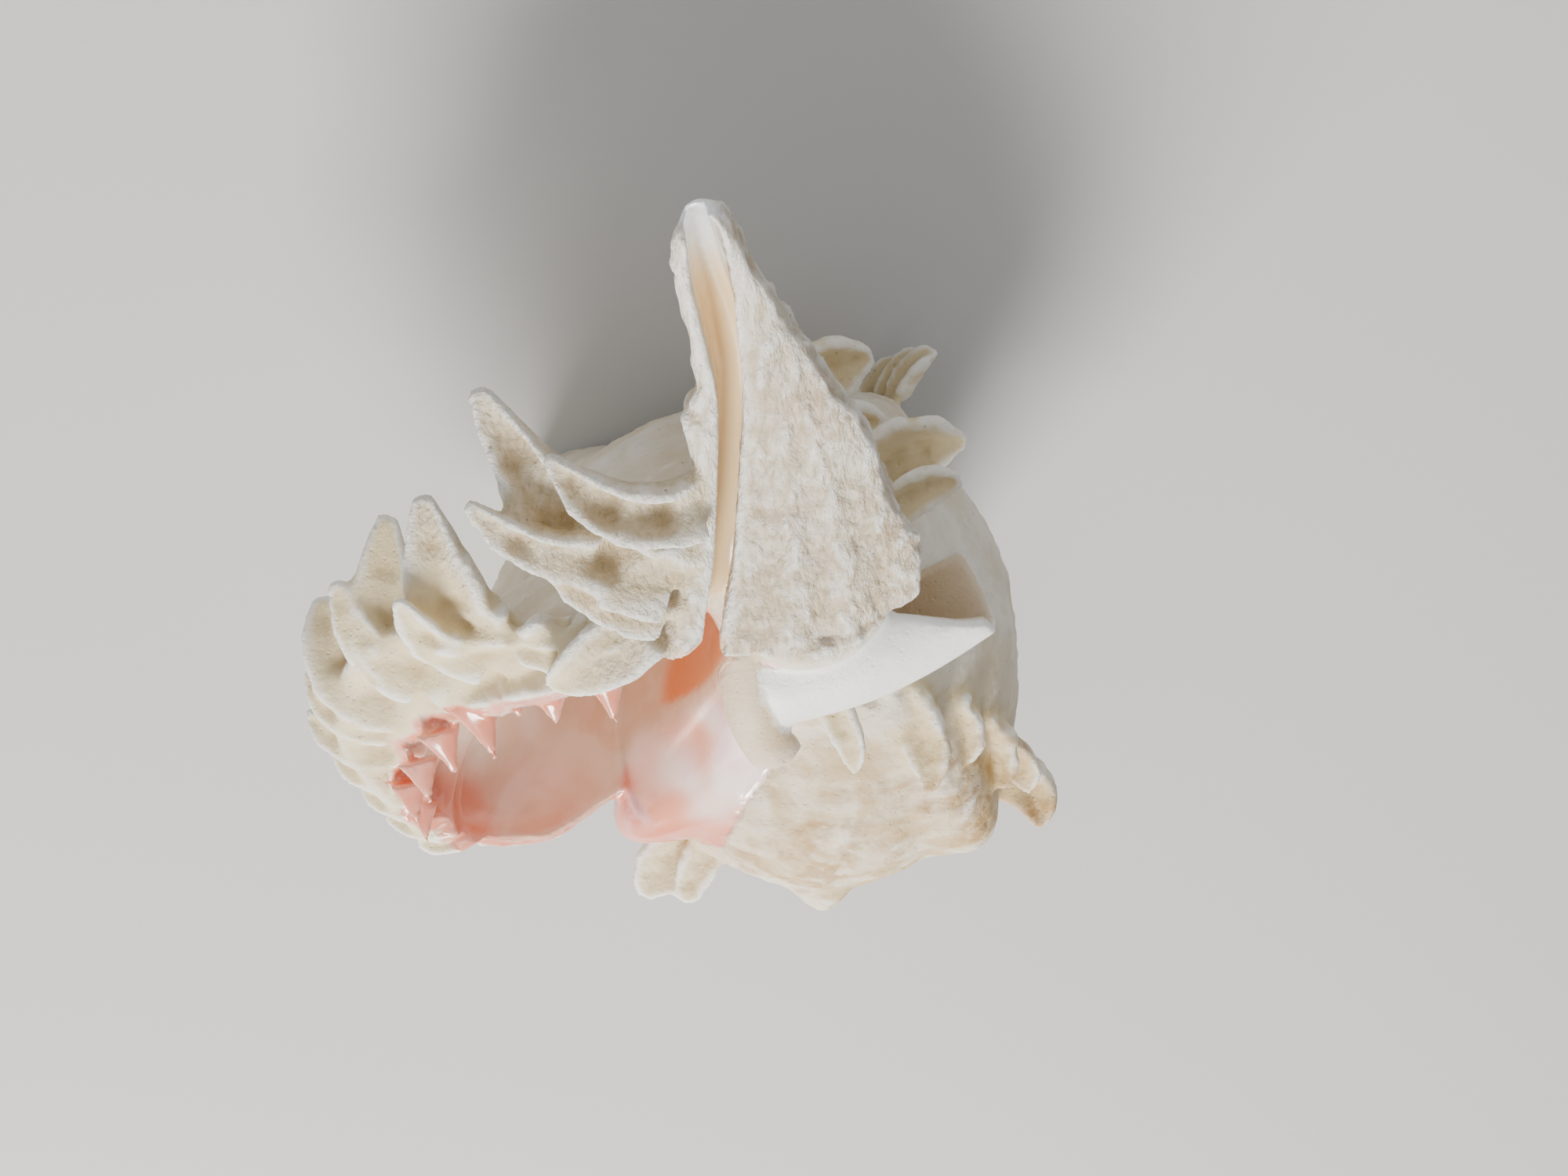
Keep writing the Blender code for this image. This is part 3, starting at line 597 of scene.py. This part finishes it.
def lip_fronds(bm):
    """The present lip's fronds and the web that joins them."""
    lip_web(bm)
    for base, bend, tip, width, cup, lobes in LIP_FRONDS:
        solid = OPEN_SOLID if base[2] < OPEN_BELOW else LIP_SOLID
        frond(bm, base, bend, tip, width, cup, FROND_FRONT, lobes, solid)


def teeth(bm):
    """The pointed teeth of the lip's edge."""
    for base, tip, width in TEETH:
        base, tip = Vector(base), Vector(tip)
        axis = (tip - base).normalized()
        side = axis.cross(Vector(TOOTH_FRONT)).normalized()
        thick = side.cross(axis) * TOOTH_FLATNESS
        rings = []
        for step in range(13):
            t = step / 12
            half = width * (TOOTH_FOOT * (1.0 - t) ** 2.2 + 0.75 * (1.0 - t) + TOOTH_POINT)
            centre = base.lerp(tip, t)
            angles = [2 * math.pi * k / 14 for k in range(14)]
            rings.append([centre + (side * math.cos(a) + thick * math.sin(a)) * half for a in angles])
        loft(bm, rings)


def worn_fronds(bm):
    """Shorter, worn fronds on the earlier varices."""
    for base, bend, tip, width, cup, lobes in EARLIER_FRONDS:
        frond(bm, base, bend, tip, width, cup, FROND_FRONT, lobes, WORN_SOLID, steps=16, arc=11)
    for turn in WORN_TURNS:
        back = coil_matrix(turn)
        front = back.to_3x3() @ Vector(FROND_FRONT)
        for base, bend, tip, width, cup, lobes in LIP_FRONDS:
            if growth(turn) * width < WORN_NARROWEST or base[2] < WORN_LOWEST:
                continue
            root = Vector(base) * WORN_FOOT
            short_tip = root.lerp(Vector(tip), WORN_LENGTH)
            short_bend = root.lerp(Vector(bend), WORN_LENGTH)
            frond(bm, back @ root, back @ short_bend, back @ short_tip, width * growth(turn),
                  cup * growth(turn), front, lobes, WORN_SOLID, steps=12, arc=9)


def gutter(bm, stations, opening):
    """An old canal: a half pipe that is open on one side."""
    points = [Vector((x, y, -h)) for x, y, h, *_ in stations]
    opening = Vector(opening).normalized()
    rings = []
    for k, (centre, station) in enumerate(zip(points, stations)):
        axis = (points[min(k + 1, len(points) - 1)] - points[max(k - 1, 0)]).normalized()
        side = axis.cross(opening).normalized()
        up = side.cross(axis)
        radius = station[3]
        outer, inner = [], []
        for j in range(25):
            angle = math.radians(mix(-FAR_SWEEP, station[4], j / 24))
            way = side * math.sin(angle) - up * math.cos(angle)
            outer.append(centre + way * radius)
            inner.append(centre + way * (radius - GUTTER_WALL))
        rings.append(outer + inner[::-1])
    loft(bm, rings)


def white_tube(bm):
    """The broken tube of the canal before this one."""
    gutter(bm, curve_through(TUBE, 6), TUBE_OPENS)


def tan_plate(bm):
    """What is left of the canal before that."""
    gutter(bm, curve_through(TAN, 6), TAN_OPENS)


def rest_matrix():
    """The move from the growth frame, in millimetres, to the shell lying on the floor, in metres."""
    rx, ry, rz = (math.radians(angle) for angle in REST_TILT)
    turn = Matrix.Rotation(rz, 4, "Z") @ Matrix.Rotation(ry, 4, "Y") @ Matrix.Rotation(rx, 4, "X")
    return Matrix.Scale(MM, 4) @ Matrix.Translation(REST_SHIFT) @ turn


def laid_down(*builders):
    """A bmesh from builders that work in the growth frame, placed as the shell lies."""
    bm = bmesh.new()
    for build in builders:
        build(bm)
    bmesh.ops.transform(bm, matrix=rest_matrix(), verts=bm.verts)
    return bm


def form_object(name, *builders):
    """Make an object from builders."""
    return new_object(name, mesh_from(name, laid_down(*builders)))


def settle(target):
    """Apply an object's modifiers to its mesh."""
    depsgraph = bpy.context.evaluated_depsgraph_get()
    mesh = bpy.data.meshes.new_from_object(target.evaluated_get(depsgraph))
    target.modifiers.clear()
    target.data = mesh


def fuse(target, voxel):
    """Melt an object's overlapping forms into one skin."""
    modifier = target.modifiers.new("fuse", "REMESH")
    modifier.mode = "VOXEL"
    modifier.voxel_size = voxel * MM
    settle(target)


def cut(target, cutter):
    """Take a cutter away from an object."""
    modifier = target.modifiers.new("cut", "BOOLEAN")
    modifier.operation = "DIFFERENCE"
    modifier.solver = "EXACT"
    modifier.object = cutter
    settle(target)


def join(target, other):
    """Add another object's mesh to a target, and remove that object."""
    bm = bmesh.new()
    bm.from_mesh(target.data)
    bm.from_mesh(other.data)
    bm.to_mesh(target.data)
    bm.free()
    bpy.data.objects.remove(other, do_unlink=True)


def keep_largest_body(target):
    """Delete every loose crumb that the cuts leave beside the shell."""
    bm = bmesh.new()
    bm.from_mesh(target.data)
    bodies = []
    waiting = set(bm.verts)
    while waiting:
        reached = {waiting.pop()}
        frontier = list(reached)
        while frontier:
            vert = frontier.pop()
            for edge in vert.link_edges:
                other = edge.other_vert(vert)
                if other in waiting:
                    waiting.discard(other)
                    reached.add(other)
                    frontier.append(other)
        bodies.append(reached)
    bodies.sort(key=len)
    for crumb in bodies[:-1]:
        bmesh.ops.delete(bm, geom=list(crumb), context="VERTS")
    bm.to_mesh(target.data)
    bm.free()


def near(tree, point, reach):
    """1 on a form's surface, falling to 0 at `reach` metres from it."""
    hit = tree.find_nearest(point, reach)
    return 0.0 if hit[3] is None else 1.0 - hit[3] / reach


def tree_of(*builders):
    """A search tree over forms, in the floor's frame."""
    bm = laid_down(*builders)
    tree = BVHTree.FromBMesh(bm)
    bm.free()
    return tree


def roughen(target, smooth_trees, inverse):
    """Move the chalky outside in and out a little, in fibres on the canal; the porcelain stays smooth."""
    mesh = target.data
    scale = 1.0 / MM
    normals = [Vector(v.normal) for v in mesh.vertices]
    for vert, normal in zip(mesh.vertices, normals):
        place = vert.co * scale
        grown = inverse @ vert.co
        calm = min(1.0, 1.6 * max(near(tree, vert.co, 0.0012) for tree in smooth_trees))
        fibrous = rise_between(-grown.z, 104.0, 112.0)
        lumps = noise.noise(place * 0.30) * 0.22 + noise.noise(place * 0.8) * 0.16
        lumps += noise.noise(place * 1.6) * 0.10
        fibres = noise.noise(Vector((grown.x * 1.1, grown.y * 1.1, grown.z * 0.13))) * 0.55
        pit = max(0.0, noise.noise(place * 0.8 + Vector((9, 4, 2))) - 0.25) * 0.6
        pitted = rise_between(grown.x, -3.0, -9.0)
        rough = mix(0.8 * lumps, 0.85 * fibres + mix(0.1, 0.5, pitted) * lumps, fibrous)
        rough -= 0.5 * pit * mix(1.0, 0.5 * pitted, fibrous)
        vert.co += normal * rough * MM * (1.0 - calm)
        vert.co.z = max(vert.co.z, 0.0)


def relief_values(bm):
    """How far each point stands out from its wider surroundings, in millimetres."""
    start = [vert.co.copy() for vert in bm.verts]
    for _ in range(RELIEF_ROUNDS):
        bmesh.ops.smooth_vert(
            bm, verts=bm.verts, factor=0.5, use_axis_x=True, use_axis_y=True, use_axis_z=True)
    bm.normal_update()
    values = [(a - vert.co).dot(vert.normal) / MM for a, vert in zip(start, bm.verts)]
    for vert, place in zip(bm.verts, start):
        vert.co = place
    return values


def slit_front(h):
    """Y of the slit's edge at a height."""
    for (h0, _, y0, *_), (h1, _, y1, *_) in zip(SLIT, SLIT[1:]):
        if h <= h1:
            return mix(y0, y1, min(1.0, max(0.0, (h - h0) / (h1 - h0))))
    return SLIT[-1][2]


def gutter_depth(place, stations):
    """How deep a point lies inside an old canal's outer wall, in millimetres."""
    depth = -math.inf
    for (x0, y0, h0, r0, _), (x1, y1, h1, r1, _) in zip(stations, stations[1:]):
        start, along = Vector((x0, y0, -h0)), Vector((x1 - x0, y1 - y0, h0 - h1))
        share = min(1.0, max(0.0, (place - start).dot(along) / along.length_squared))
        depth = max(depth, mix(r0, r1, share) - (place - start - along * share).length)
    return depth


class Spot:
    """A point of the skin, placed in the growth frame, and how close the forms are to it."""

    def __init__(self, point, trees, inverse):
        self.point = point
        self.trees = trees
        self.place = inverse @ point
        self.h = -self.place.z
        self.radius = math.hypot(self.place.x, self.place.y)
        self.azimuth = math.degrees(math.atan2(self.place.y, self.place.x))
        self.turn = (-self.azimuth - (LIP_AZIMUTH - 180.0)) % -360.0
        if self.turn < -340.0:
            self.turn += 360.0

    def close(self, name, reach=0.0011):
        """1 on a form's surface, falling to 0 at `reach` metres from it."""
        return near(self.trees[name], self.point, reach)


def porcelain_zones(spot):
    """Shares of the aperture's inner wall, the callus, the reddened edges and the amber columella."""
    y = spot.place.y
    inner = ease(spot.close("aperture") * 2.2)
    laid = ease(spot.close("callus") * 2.0) * rise_between(y, -4.0, -7.0)
    tooth = ease(spot.close("teeth") * 2.0)
    shoulder = rise_between(spot.h, 58.0, 53.0) * 0.45
    edge = inner * rise_between(spot.turn, -9.0, -2.0) * rise_between(spot.radius, 27.0, 32.0)
    edge *= max(rise_between(spot.radius, 38.0, 43.0), shoulder)
    rim = ease(spot.close("aperture", 0.0032) * 1.8) * (1.0 - inner) * rise_between(spot.radius, 22.0, 27.0)
    rim *= rise_between(spot.turn, -13.0, -8.0)
    mouth_side = rise_between(spot.azimuth, -33.0, -27.0) * rise_between(spot.radius, 22.0, 25.0)
    flange = laid * max(rise_between(y, -15.5, -19.0), mouth_side)
    wedge = rise_between(spot.radius, 19.0, 16.0) * rise_between(y, -3.9, -2.7)
    wedge *= rise_between(spot.h, 48.0, 53.0)
    amber = inner * wedge * rise_between(spot.place.x, 20.0, 17.0)
    return inner, laid, max(edge, tooth, rim, flange), amber


def form_zones(spot, inner):
    """Shares of the fronds, the canal's floor, the old white tube and the tan plate."""
    channel = ease(spot.close("channel") * 2.2) * rise_between(spot.h, 108.0, 114.0)
    channel *= rise_between(spot.place.y - slit_front(spot.h), 0.9, 2.1)
    tube = ease(spot.close("tube", 0.0012) * 2.0)
    hollow = tube * rise_between(gutter_depth(spot.place, TUBE), 0.5, 1.0)
    tan = ease(spot.close("tan", 0.0012) * 2.0) * (1.0 - tube) * (1.0 - inner) + hollow
    fronds = max(spot.close("fronds", 0.0014), 0.8 * spot.close("worn", 0.0012))
    return ease(fronds * 1.6), channel, tube - hollow, tan


def mark_zones(spot, relief, glazed, channel):
    """How far the point stands out, and shares of the stain, the canal's fibres and its pale tip."""
    standing = 0.5 + 0.5 * max(-1.0, min(1.0, relief * 2.0))
    stain = rise_between(spot.place.y, -4.0, -12.0) * rise_between(spot.place.x, 14.0, 6.0) * (1.0 - glazed)
    stain *= rise_between(spot.h, 24.0, 34.0) * rise_between(spot.h, 80.0, 66.0)
    fibre = rise_between(spot.h, 104.0, 112.0) * (1.0 - channel)
    return standing, stain, fibre, rise_between(spot.h, 160.0, 176.0)


def paint_zones(target, trees, inverse):
    """Store, for each point, which form it belongs to and how it stands out, for the material."""
    mesh = target.data
    layers = [mesh.attributes.new(name, "FLOAT_COLOR", "POINT") for name in ("porcelain", "forms", "marks")]
    bm = bmesh.new()
    bm.from_mesh(mesh)
    relief = relief_values(bm)
    bm.free()
    for k, vert in enumerate(mesh.vertices):
        spot = Spot(vert.co, trees, inverse)
        porcelain = porcelain_zones(spot)
        inner, laid, *_ = porcelain
        forms = form_zones(spot, inner)
        channel = forms[1]
        marks = mark_zones(spot, relief[k], max(inner, laid), channel)
        for layer, zones in zip(layers, (porcelain, forms, marks)):
            layer.data[k].color = zones


def tone(red, green, blue):
    """A colour given in ordinary screen values, as the shader's linear ones."""
    linear = [((value / 255.0 + 0.055) / 1.055) ** 2.4 for value in (red, green, blue)]
    return (*linear, 1.0)


# The chalky outside
CREAM = tone(224, 211, 186)
PALE_CREAM = tone(240, 234, 220)
SAND = tone(212, 190, 154)
FIBRE_BROWN = tone(176, 152, 116)
FIBRE_TAN = tone(190, 164, 126)
FIBRE_WHITE = tone(246, 246, 244)
FROND_CREAM = tone(224, 205, 158)
# Painted shade, laid into the hollows of the chalky outside
HOLLOW_SHADE = tone(170, 136, 82)
WORN_WHITE = tone(253, 250, 242)
STAIN = tone(194, 164, 108)
RUST = tone(170, 126, 64)
PINHOLE = tone(120, 92, 58)
PLATE_TAN = tone(206, 178, 136)
TUBE_WHITE = tone(250, 249, 246)
# The porcelain of the aperture and the floor of the canal
PEACH = tone(238, 216, 196)
DEEP_PEACH = tone(230, 198, 170)
PALE_GLAZE = tone(252, 230, 222)
PINK_GLAZE = tone(240, 158, 126)
ROSE_GLAZE = tone(240, 200, 210)
BLUSH = tone(229, 116, 80)
AMBER = tone(236, 124, 30)
# Painted highlight, laid on the ridges of the pink lip edge, teeth and callus flange
RIDGE_HIGHLIGHT = tone(253, 230, 222)
CHANNEL_TAN = tone(232, 206, 158)
CHANNEL_TIP = tone(236, 242, 248)
# The floor, and the light from all round
FLOOR_GREY = tone(196, 195, 193)
SKY_WHITE = tone(225, 228, 232)


class Wire:
    """A shader socket that takes part in Python expressions."""

    def __init__(self, tree, socket):
        self.tree = tree
        self.socket = socket

    def node(self, kind, settings, sockets, output=0):
        """Add a node, set it up, feed its sockets, and return one of its outputs."""
        made = self.tree.nodes.new(kind)
        for name, value in settings.items():
            setattr(made, name, value)
        for name, value in sockets.items():
            if isinstance(value, Wire):
                self.tree.links.new(value.socket, made.inputs[name])
            else:
                made.inputs[name].default_value = value
        return Wire(self.tree, made.outputs[output])

    def math(self, operation, other=0.0, clamp=False):
        """This value and another through one Math node."""
        settings = {"operation": operation, "use_clamp": clamp}
        return self.node("ShaderNodeMath", settings, {0: self, 1: other})

    def __add__(self, other):
        return self.math("ADD", other)

    def __radd__(self, other):
        return self.math("ADD", other)

    def __sub__(self, other):
        return self.math("SUBTRACT", other)

    def __rsub__(self, other):
        return (self * -1.0) + other

    def __mul__(self, other):
        return self.math("MULTIPLY", other)

    def __rmul__(self, other):
        return self.math("MULTIPLY", other)

    def clamp(self):
        """This value, kept between 0 and 1."""
        return self.math("ADD", 0.0, clamp=True)

    def blend(self, under, over):
        """A colour between two colours, by this value."""
        made = self.tree.nodes.new("ShaderNodeMix")
        made.data_type = "RGBA"
        self.tree.links.new(self.socket, made.inputs[0])
        for slot, colour in ((6, under), (7, over)):
            if isinstance(colour, Wire):
                self.tree.links.new(colour.socket, made.inputs[slot])
            else:
                made.inputs[slot].default_value = colour
        return Wire(self.tree, made.outputs[2])

    def band(self, low, high):
        """0 below `low`, 1 above `high`, smooth between."""
        settings = {"interpolation_type": "SMOOTHSTEP"}
        return self.node("ShaderNodeMapRange", settings, {"Value": self, "From Min": low, "From Max": high})


def shell_material():
    """Chalky cream outside, pink and orange porcelain inside, with stains, pits, fibres and growth lines,
    painted shade in the hollows and a painted highlight on the pink ridges.
    """
    material = bpy.data.materials.new("murex_shell")
    material.use_nodes = True
    tree = material.node_tree
    finish = tree.nodes["Principled BSDF"]
    start = Wire(tree, None)

    raw = start.node("ShaderNodeTexCoord", {}, {}, "Object")
    place = start.node("ShaderNodeMapping", {}, {"Vector": raw, "Scale": (1000.0, 1000.0, 1000.0)})
    turned = tuple(rest_matrix().inverted().to_euler())
    upright = start.node("ShaderNodeMapping", {}, {"Vector": place, "Rotation": turned})
    along = start.node("ShaderNodeMapping", {}, {"Vector": upright, "Scale": (1.0, 1.0, 0.16)})

    def attribute(name):
        colour = start.node("ShaderNodeAttribute", {"attribute_name": name}, {}, "Color")
        parts = [start.node("ShaderNodeSeparateColor", {}, {"Color": colour}, k) for k in range(3)]
        return parts + [start.node("ShaderNodeAttribute", {"attribute_name": name}, {}, "Alpha")]

    def grain(scale, detail=3.0, distortion=0.0, rough=0.55, where=place):
        sockets = {"Vector": where, "Scale": scale, "Detail": detail, "Roughness": rough,
                   "Distortion": distortion}
        return start.node("ShaderNodeTexNoise", {}, sockets, "Fac")

    inner, laid, pink, amber = attribute("porcelain")
    fronds, channel, tube, tan = attribute("forms")
    relief, stain, fibre, tip = attribute("marks")

    broad = grain(0.05, 2.0)
    cloudy = grain(0.13, 4.0, 0.6)
    patchy = grain(0.09, 3.0, 1.0)
    mottled = grain(0.45, 5.0, 0.4)
    fine = grain(1.6, 8.0, 0.0, 0.7)
    strands = grain(1.5, 6.0, 0.3, 0.6, along)
    pores = start.node("ShaderNodeTexVoronoi", {"feature": "F1"}, {"Vector": place, "Scale": 0.9}, "Distance")

    recess = ((0.5 - relief) * 2.0).band(0.0, 1.3)
    ridge = ((relief - 0.5) * 2.0).band(0.08, 0.8)

    chalk = cloudy.band(0.3, 0.7).blend(CREAM, PALE_CREAM)
    chalk = (broad.band(0.40, 0.62) * 0.6).blend(chalk, SAND)
    chalk = (fibre * strands.band(0.35, 0.75) * 0.7).blend(chalk, FIBRE_BROWN)
    chalk = (fibre * cloudy.band(0.46, 0.66) * 0.6).blend(chalk, FIBRE_TAN)
    chalk = (fibre * mottled.band(0.54, 0.70) * 0.5).blend(chalk, FIBRE_WHITE)
    creamy = (fronds * (1.0 - fibre * 0.6) * 0.8).blend(chalk, FROND_CREAM)
    # Painted shade: the hollows are darkened towards yellow-brown, most of all in the fronds
    hollow_shaded = (recess * (fronds * 0.45 + 0.40)).blend(creamy, HOLLOW_SHADE)
    worn = (ridge * 0.85).blend(hollow_shaded, WORN_WHITE)
    blotched = (stain * cloudy.band(0.40, 0.62) * 0.8).blend(worn, STAIN)
    rusty = stain * patchy.band(0.44, 0.64) * mottled.band(0.36, 0.58) * 0.7
    blotched = rusty.blend(blotched, RUST)
    pinholes = (0.2 - pores).band(0.0, 0.12) * mottled.band(0.55, 0.68) * 0.7
    pored = pinholes.blend(blotched, PINHOLE)
    plated = (tan * (patchy * 0.5 + 0.40)).blend(pored, PLATE_TAN)
    outside = (tube * 0.9).blend(plated, TUBE_WHITE)

    peach = cloudy.band(0.36, 0.64).blend(PEACH, DEEP_PEACH)
    glaze = broad.band(0.42, 0.60).blend(PALE_GLAZE, PINK_GLAZE)
    glaze = (cloudy.band(0.50, 0.70) * 0.6).blend(glaze, ROSE_GLAZE)
    porcelain = laid.blend(peach, glaze)
    blush = (pink * (cloudy * 0.5 + 0.55)).clamp().blend(porcelain, BLUSH)
    glowing = (amber * 0.95).clamp().blend(blush, AMBER)
    # Painted highlight: the ridges of the pink edges and teeth are lightened to a pale glaze
    ridge_lit = (ridge * pink * 0.18).blend(glowing, RIDGE_HIGHLIGHT)
    floor_tone = tip.blend(CHANNEL_TAN, CHANNEL_TIP)
    inside = (channel * 0.95).blend(ridge_lit, floor_tone)
    smooth = inner.math("MAXIMUM", laid).math("MAXIMUM", pink).math("MAXIMUM", channel)
    skin = smooth.band(0.25, 0.7).blend(outside, inside)

    glossy = smooth.math("MAXIMUM", tube * 0.55).clamp()
    chalky = 1.0 - glossy
    height = fine * 0.16 + mottled * 0.18 + pores.band(0.0, 0.25) * 0.08 + strands * fibre * 0.8
    height = height * (chalky * 0.95 + 0.05)
    bump = start.node("ShaderNodeBump", {}, {"Strength": 1.0, "Distance": 0.0012, "Height": height}, "Normal")

    roughness = chalky * 0.45 + 0.16 + (mottled - 0.5) * 0.15 * chalky
    tree.links.new(skin.socket, finish.inputs["Base Color"])
    tree.links.new(roughness.socket, finish.inputs["Roughness"])
    tree.links.new((smooth * 0.5).socket, finish.inputs["Coat Weight"])
    tree.links.new(bump.socket, finish.inputs["Normal"])
    finish.inputs["Coat Roughness"].default_value = 0.10
    finish.inputs["IOR"].default_value = 1.53
    finish.inputs["Subsurface Weight"].default_value = 0.15
    finish.inputs["Subsurface Scale"].default_value = 0.0018
    finish.inputs["Subsurface Radius"].default_value = (1.0, 0.6, 0.4)
    return material


def shell():
    """The whole shell as one fine skin, hollow at the aperture and along the canal."""
    forms = (whorls, canal, columella, callus, lip_fronds, worn_fronds, white_tube, tan_plate)
    body = form_object("murex_shell_fine", *forms)
    fuse(body, FUSE_VOXEL)
    for build in (aperture_cutter, canal_cutter):
        cutter = form_object("cutter", build)
        cut(body, cutter)
        bpy.data.objects.remove(cutter, do_unlink=True)
    keep_largest_body(body)
    join(body, form_object("teeth", teeth))
    fuse(body, SKIN_VOXEL)
    keep_largest_body(body)
    trees = {
        "aperture": tree_of(aperture_cutter), "channel": tree_of(canal_cutter), "callus": tree_of(callus),
        "teeth": tree_of(teeth), "fronds": tree_of(lip_fronds), "worn": tree_of(worn_fronds),
        "tube": tree_of(white_tube), "tan": tree_of(tan_plate),
    }
    inverse = rest_matrix().inverted()
    calm = ("aperture", "channel", "callus", "tube", "fronds", "tan", "teeth")
    roughen(body, [trees[name] for name in calm], inverse)
    thin = body.modifiers.new("thin", "DECIMATE")
    thin.ratio = min(1.0, FACE_COUNT / sum(len(face.vertices) - 2 for face in body.data.polygons))
    settle(body)
    paint_zones(body, trees, inverse)
    body.data.shade_smooth()
    body.data.materials.clear()
    body.data.materials.append(shell_material())
    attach(body, "root")
    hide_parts("murex_shell")
    return body


def floor_material():
    """Matt pale grey."""
    material = bpy.data.materials.new("floor")
    material.use_nodes = True
    finish = material.node_tree.nodes["Principled BSDF"]
    finish.inputs["Base Color"].default_value = FLOOR_GREY
    finish.inputs["Roughness"].default_value = 0.85
    return material


def floor():
    """A plain pale floor."""
    bm = bmesh.new()
    bmesh.ops.create_grid(bm, x_segments=1, y_segments=1, size=FLOOR_REACH)
    made = new_object("floor", mesh_from("floor", bm))
    made.data.materials.append(floor_material())


def camera():
    """A camera where the photograph was taken from, given in the growth frame."""
    tilt, roll = math.radians(CAMERA_TILT), math.radians(CAMERA_ROLL)
    back = Vector((0, -math.sin(tilt), -math.cos(tilt)))
    level = Vector((-1, 0, 0))
    rise = Vector((0, math.cos(tilt), -math.sin(tilt)))
    right = level * math.cos(roll) + rise * math.sin(roll)
    up = rise * math.cos(roll) - level * math.sin(roll)
    eye = Vector(CAMERA_AIM) + back * CAMERA_AWAY - right * CAMERA_SIDE
    turn = rest_matrix().to_3x3() * (1.0 / MM)
    lens = bpy.data.cameras.new("camera")
    lens.lens = CAMERA_LENS
    lens.sensor_width = SENSOR
    lens.clip_start = 0.01
    made = new_object("camera", lens)
    axes = Matrix((turn @ right, turn @ up, turn @ back)).transposed()
    made.matrix_world = Matrix.Translation(rest_matrix() @ eye) @ axes.to_4x4()
    bpy.context.scene.camera = made


def area_light(name, place, size, power, colour):
    """A soft square light that faces the shell."""
    lamp = bpy.data.lights.new(name, "AREA")
    lamp.size = size
    lamp.energy = power
    lamp.color = colour
    made = new_object(name, lamp)
    made.location = place
    made.rotation_euler = (Vector(place) - Vector((0, 0, 0.05))).to_track_quat("Z", "Y").to_euler()


def lights():
    """Soft studio light: a wide key on the mouth's side, a weak fill and a top light."""
    area_light("key", (0.55, 0.60, 0.60), 0.4, 25.0, (1.0, 0.98, 0.95))
    area_light("fill", (-0.8, -0.6, 0.6), 1.0, 3.0, (0.95, 0.97, 1.0))
    area_light("top", (0.3, -0.5, 1.0), 1.0, 5.0, (1.0, 1.0, 1.0))
    world = bpy.data.worlds.new("studio")
    world.use_nodes = True
    world.node_tree.nodes["Background"].inputs["Color"].default_value = SKY_WHITE
    world.node_tree.nodes["Background"].inputs["Strength"].default_value = WORLD_STRENGTH
    bpy.context.scene.world = world


shell()
floor()
camera()
lights()
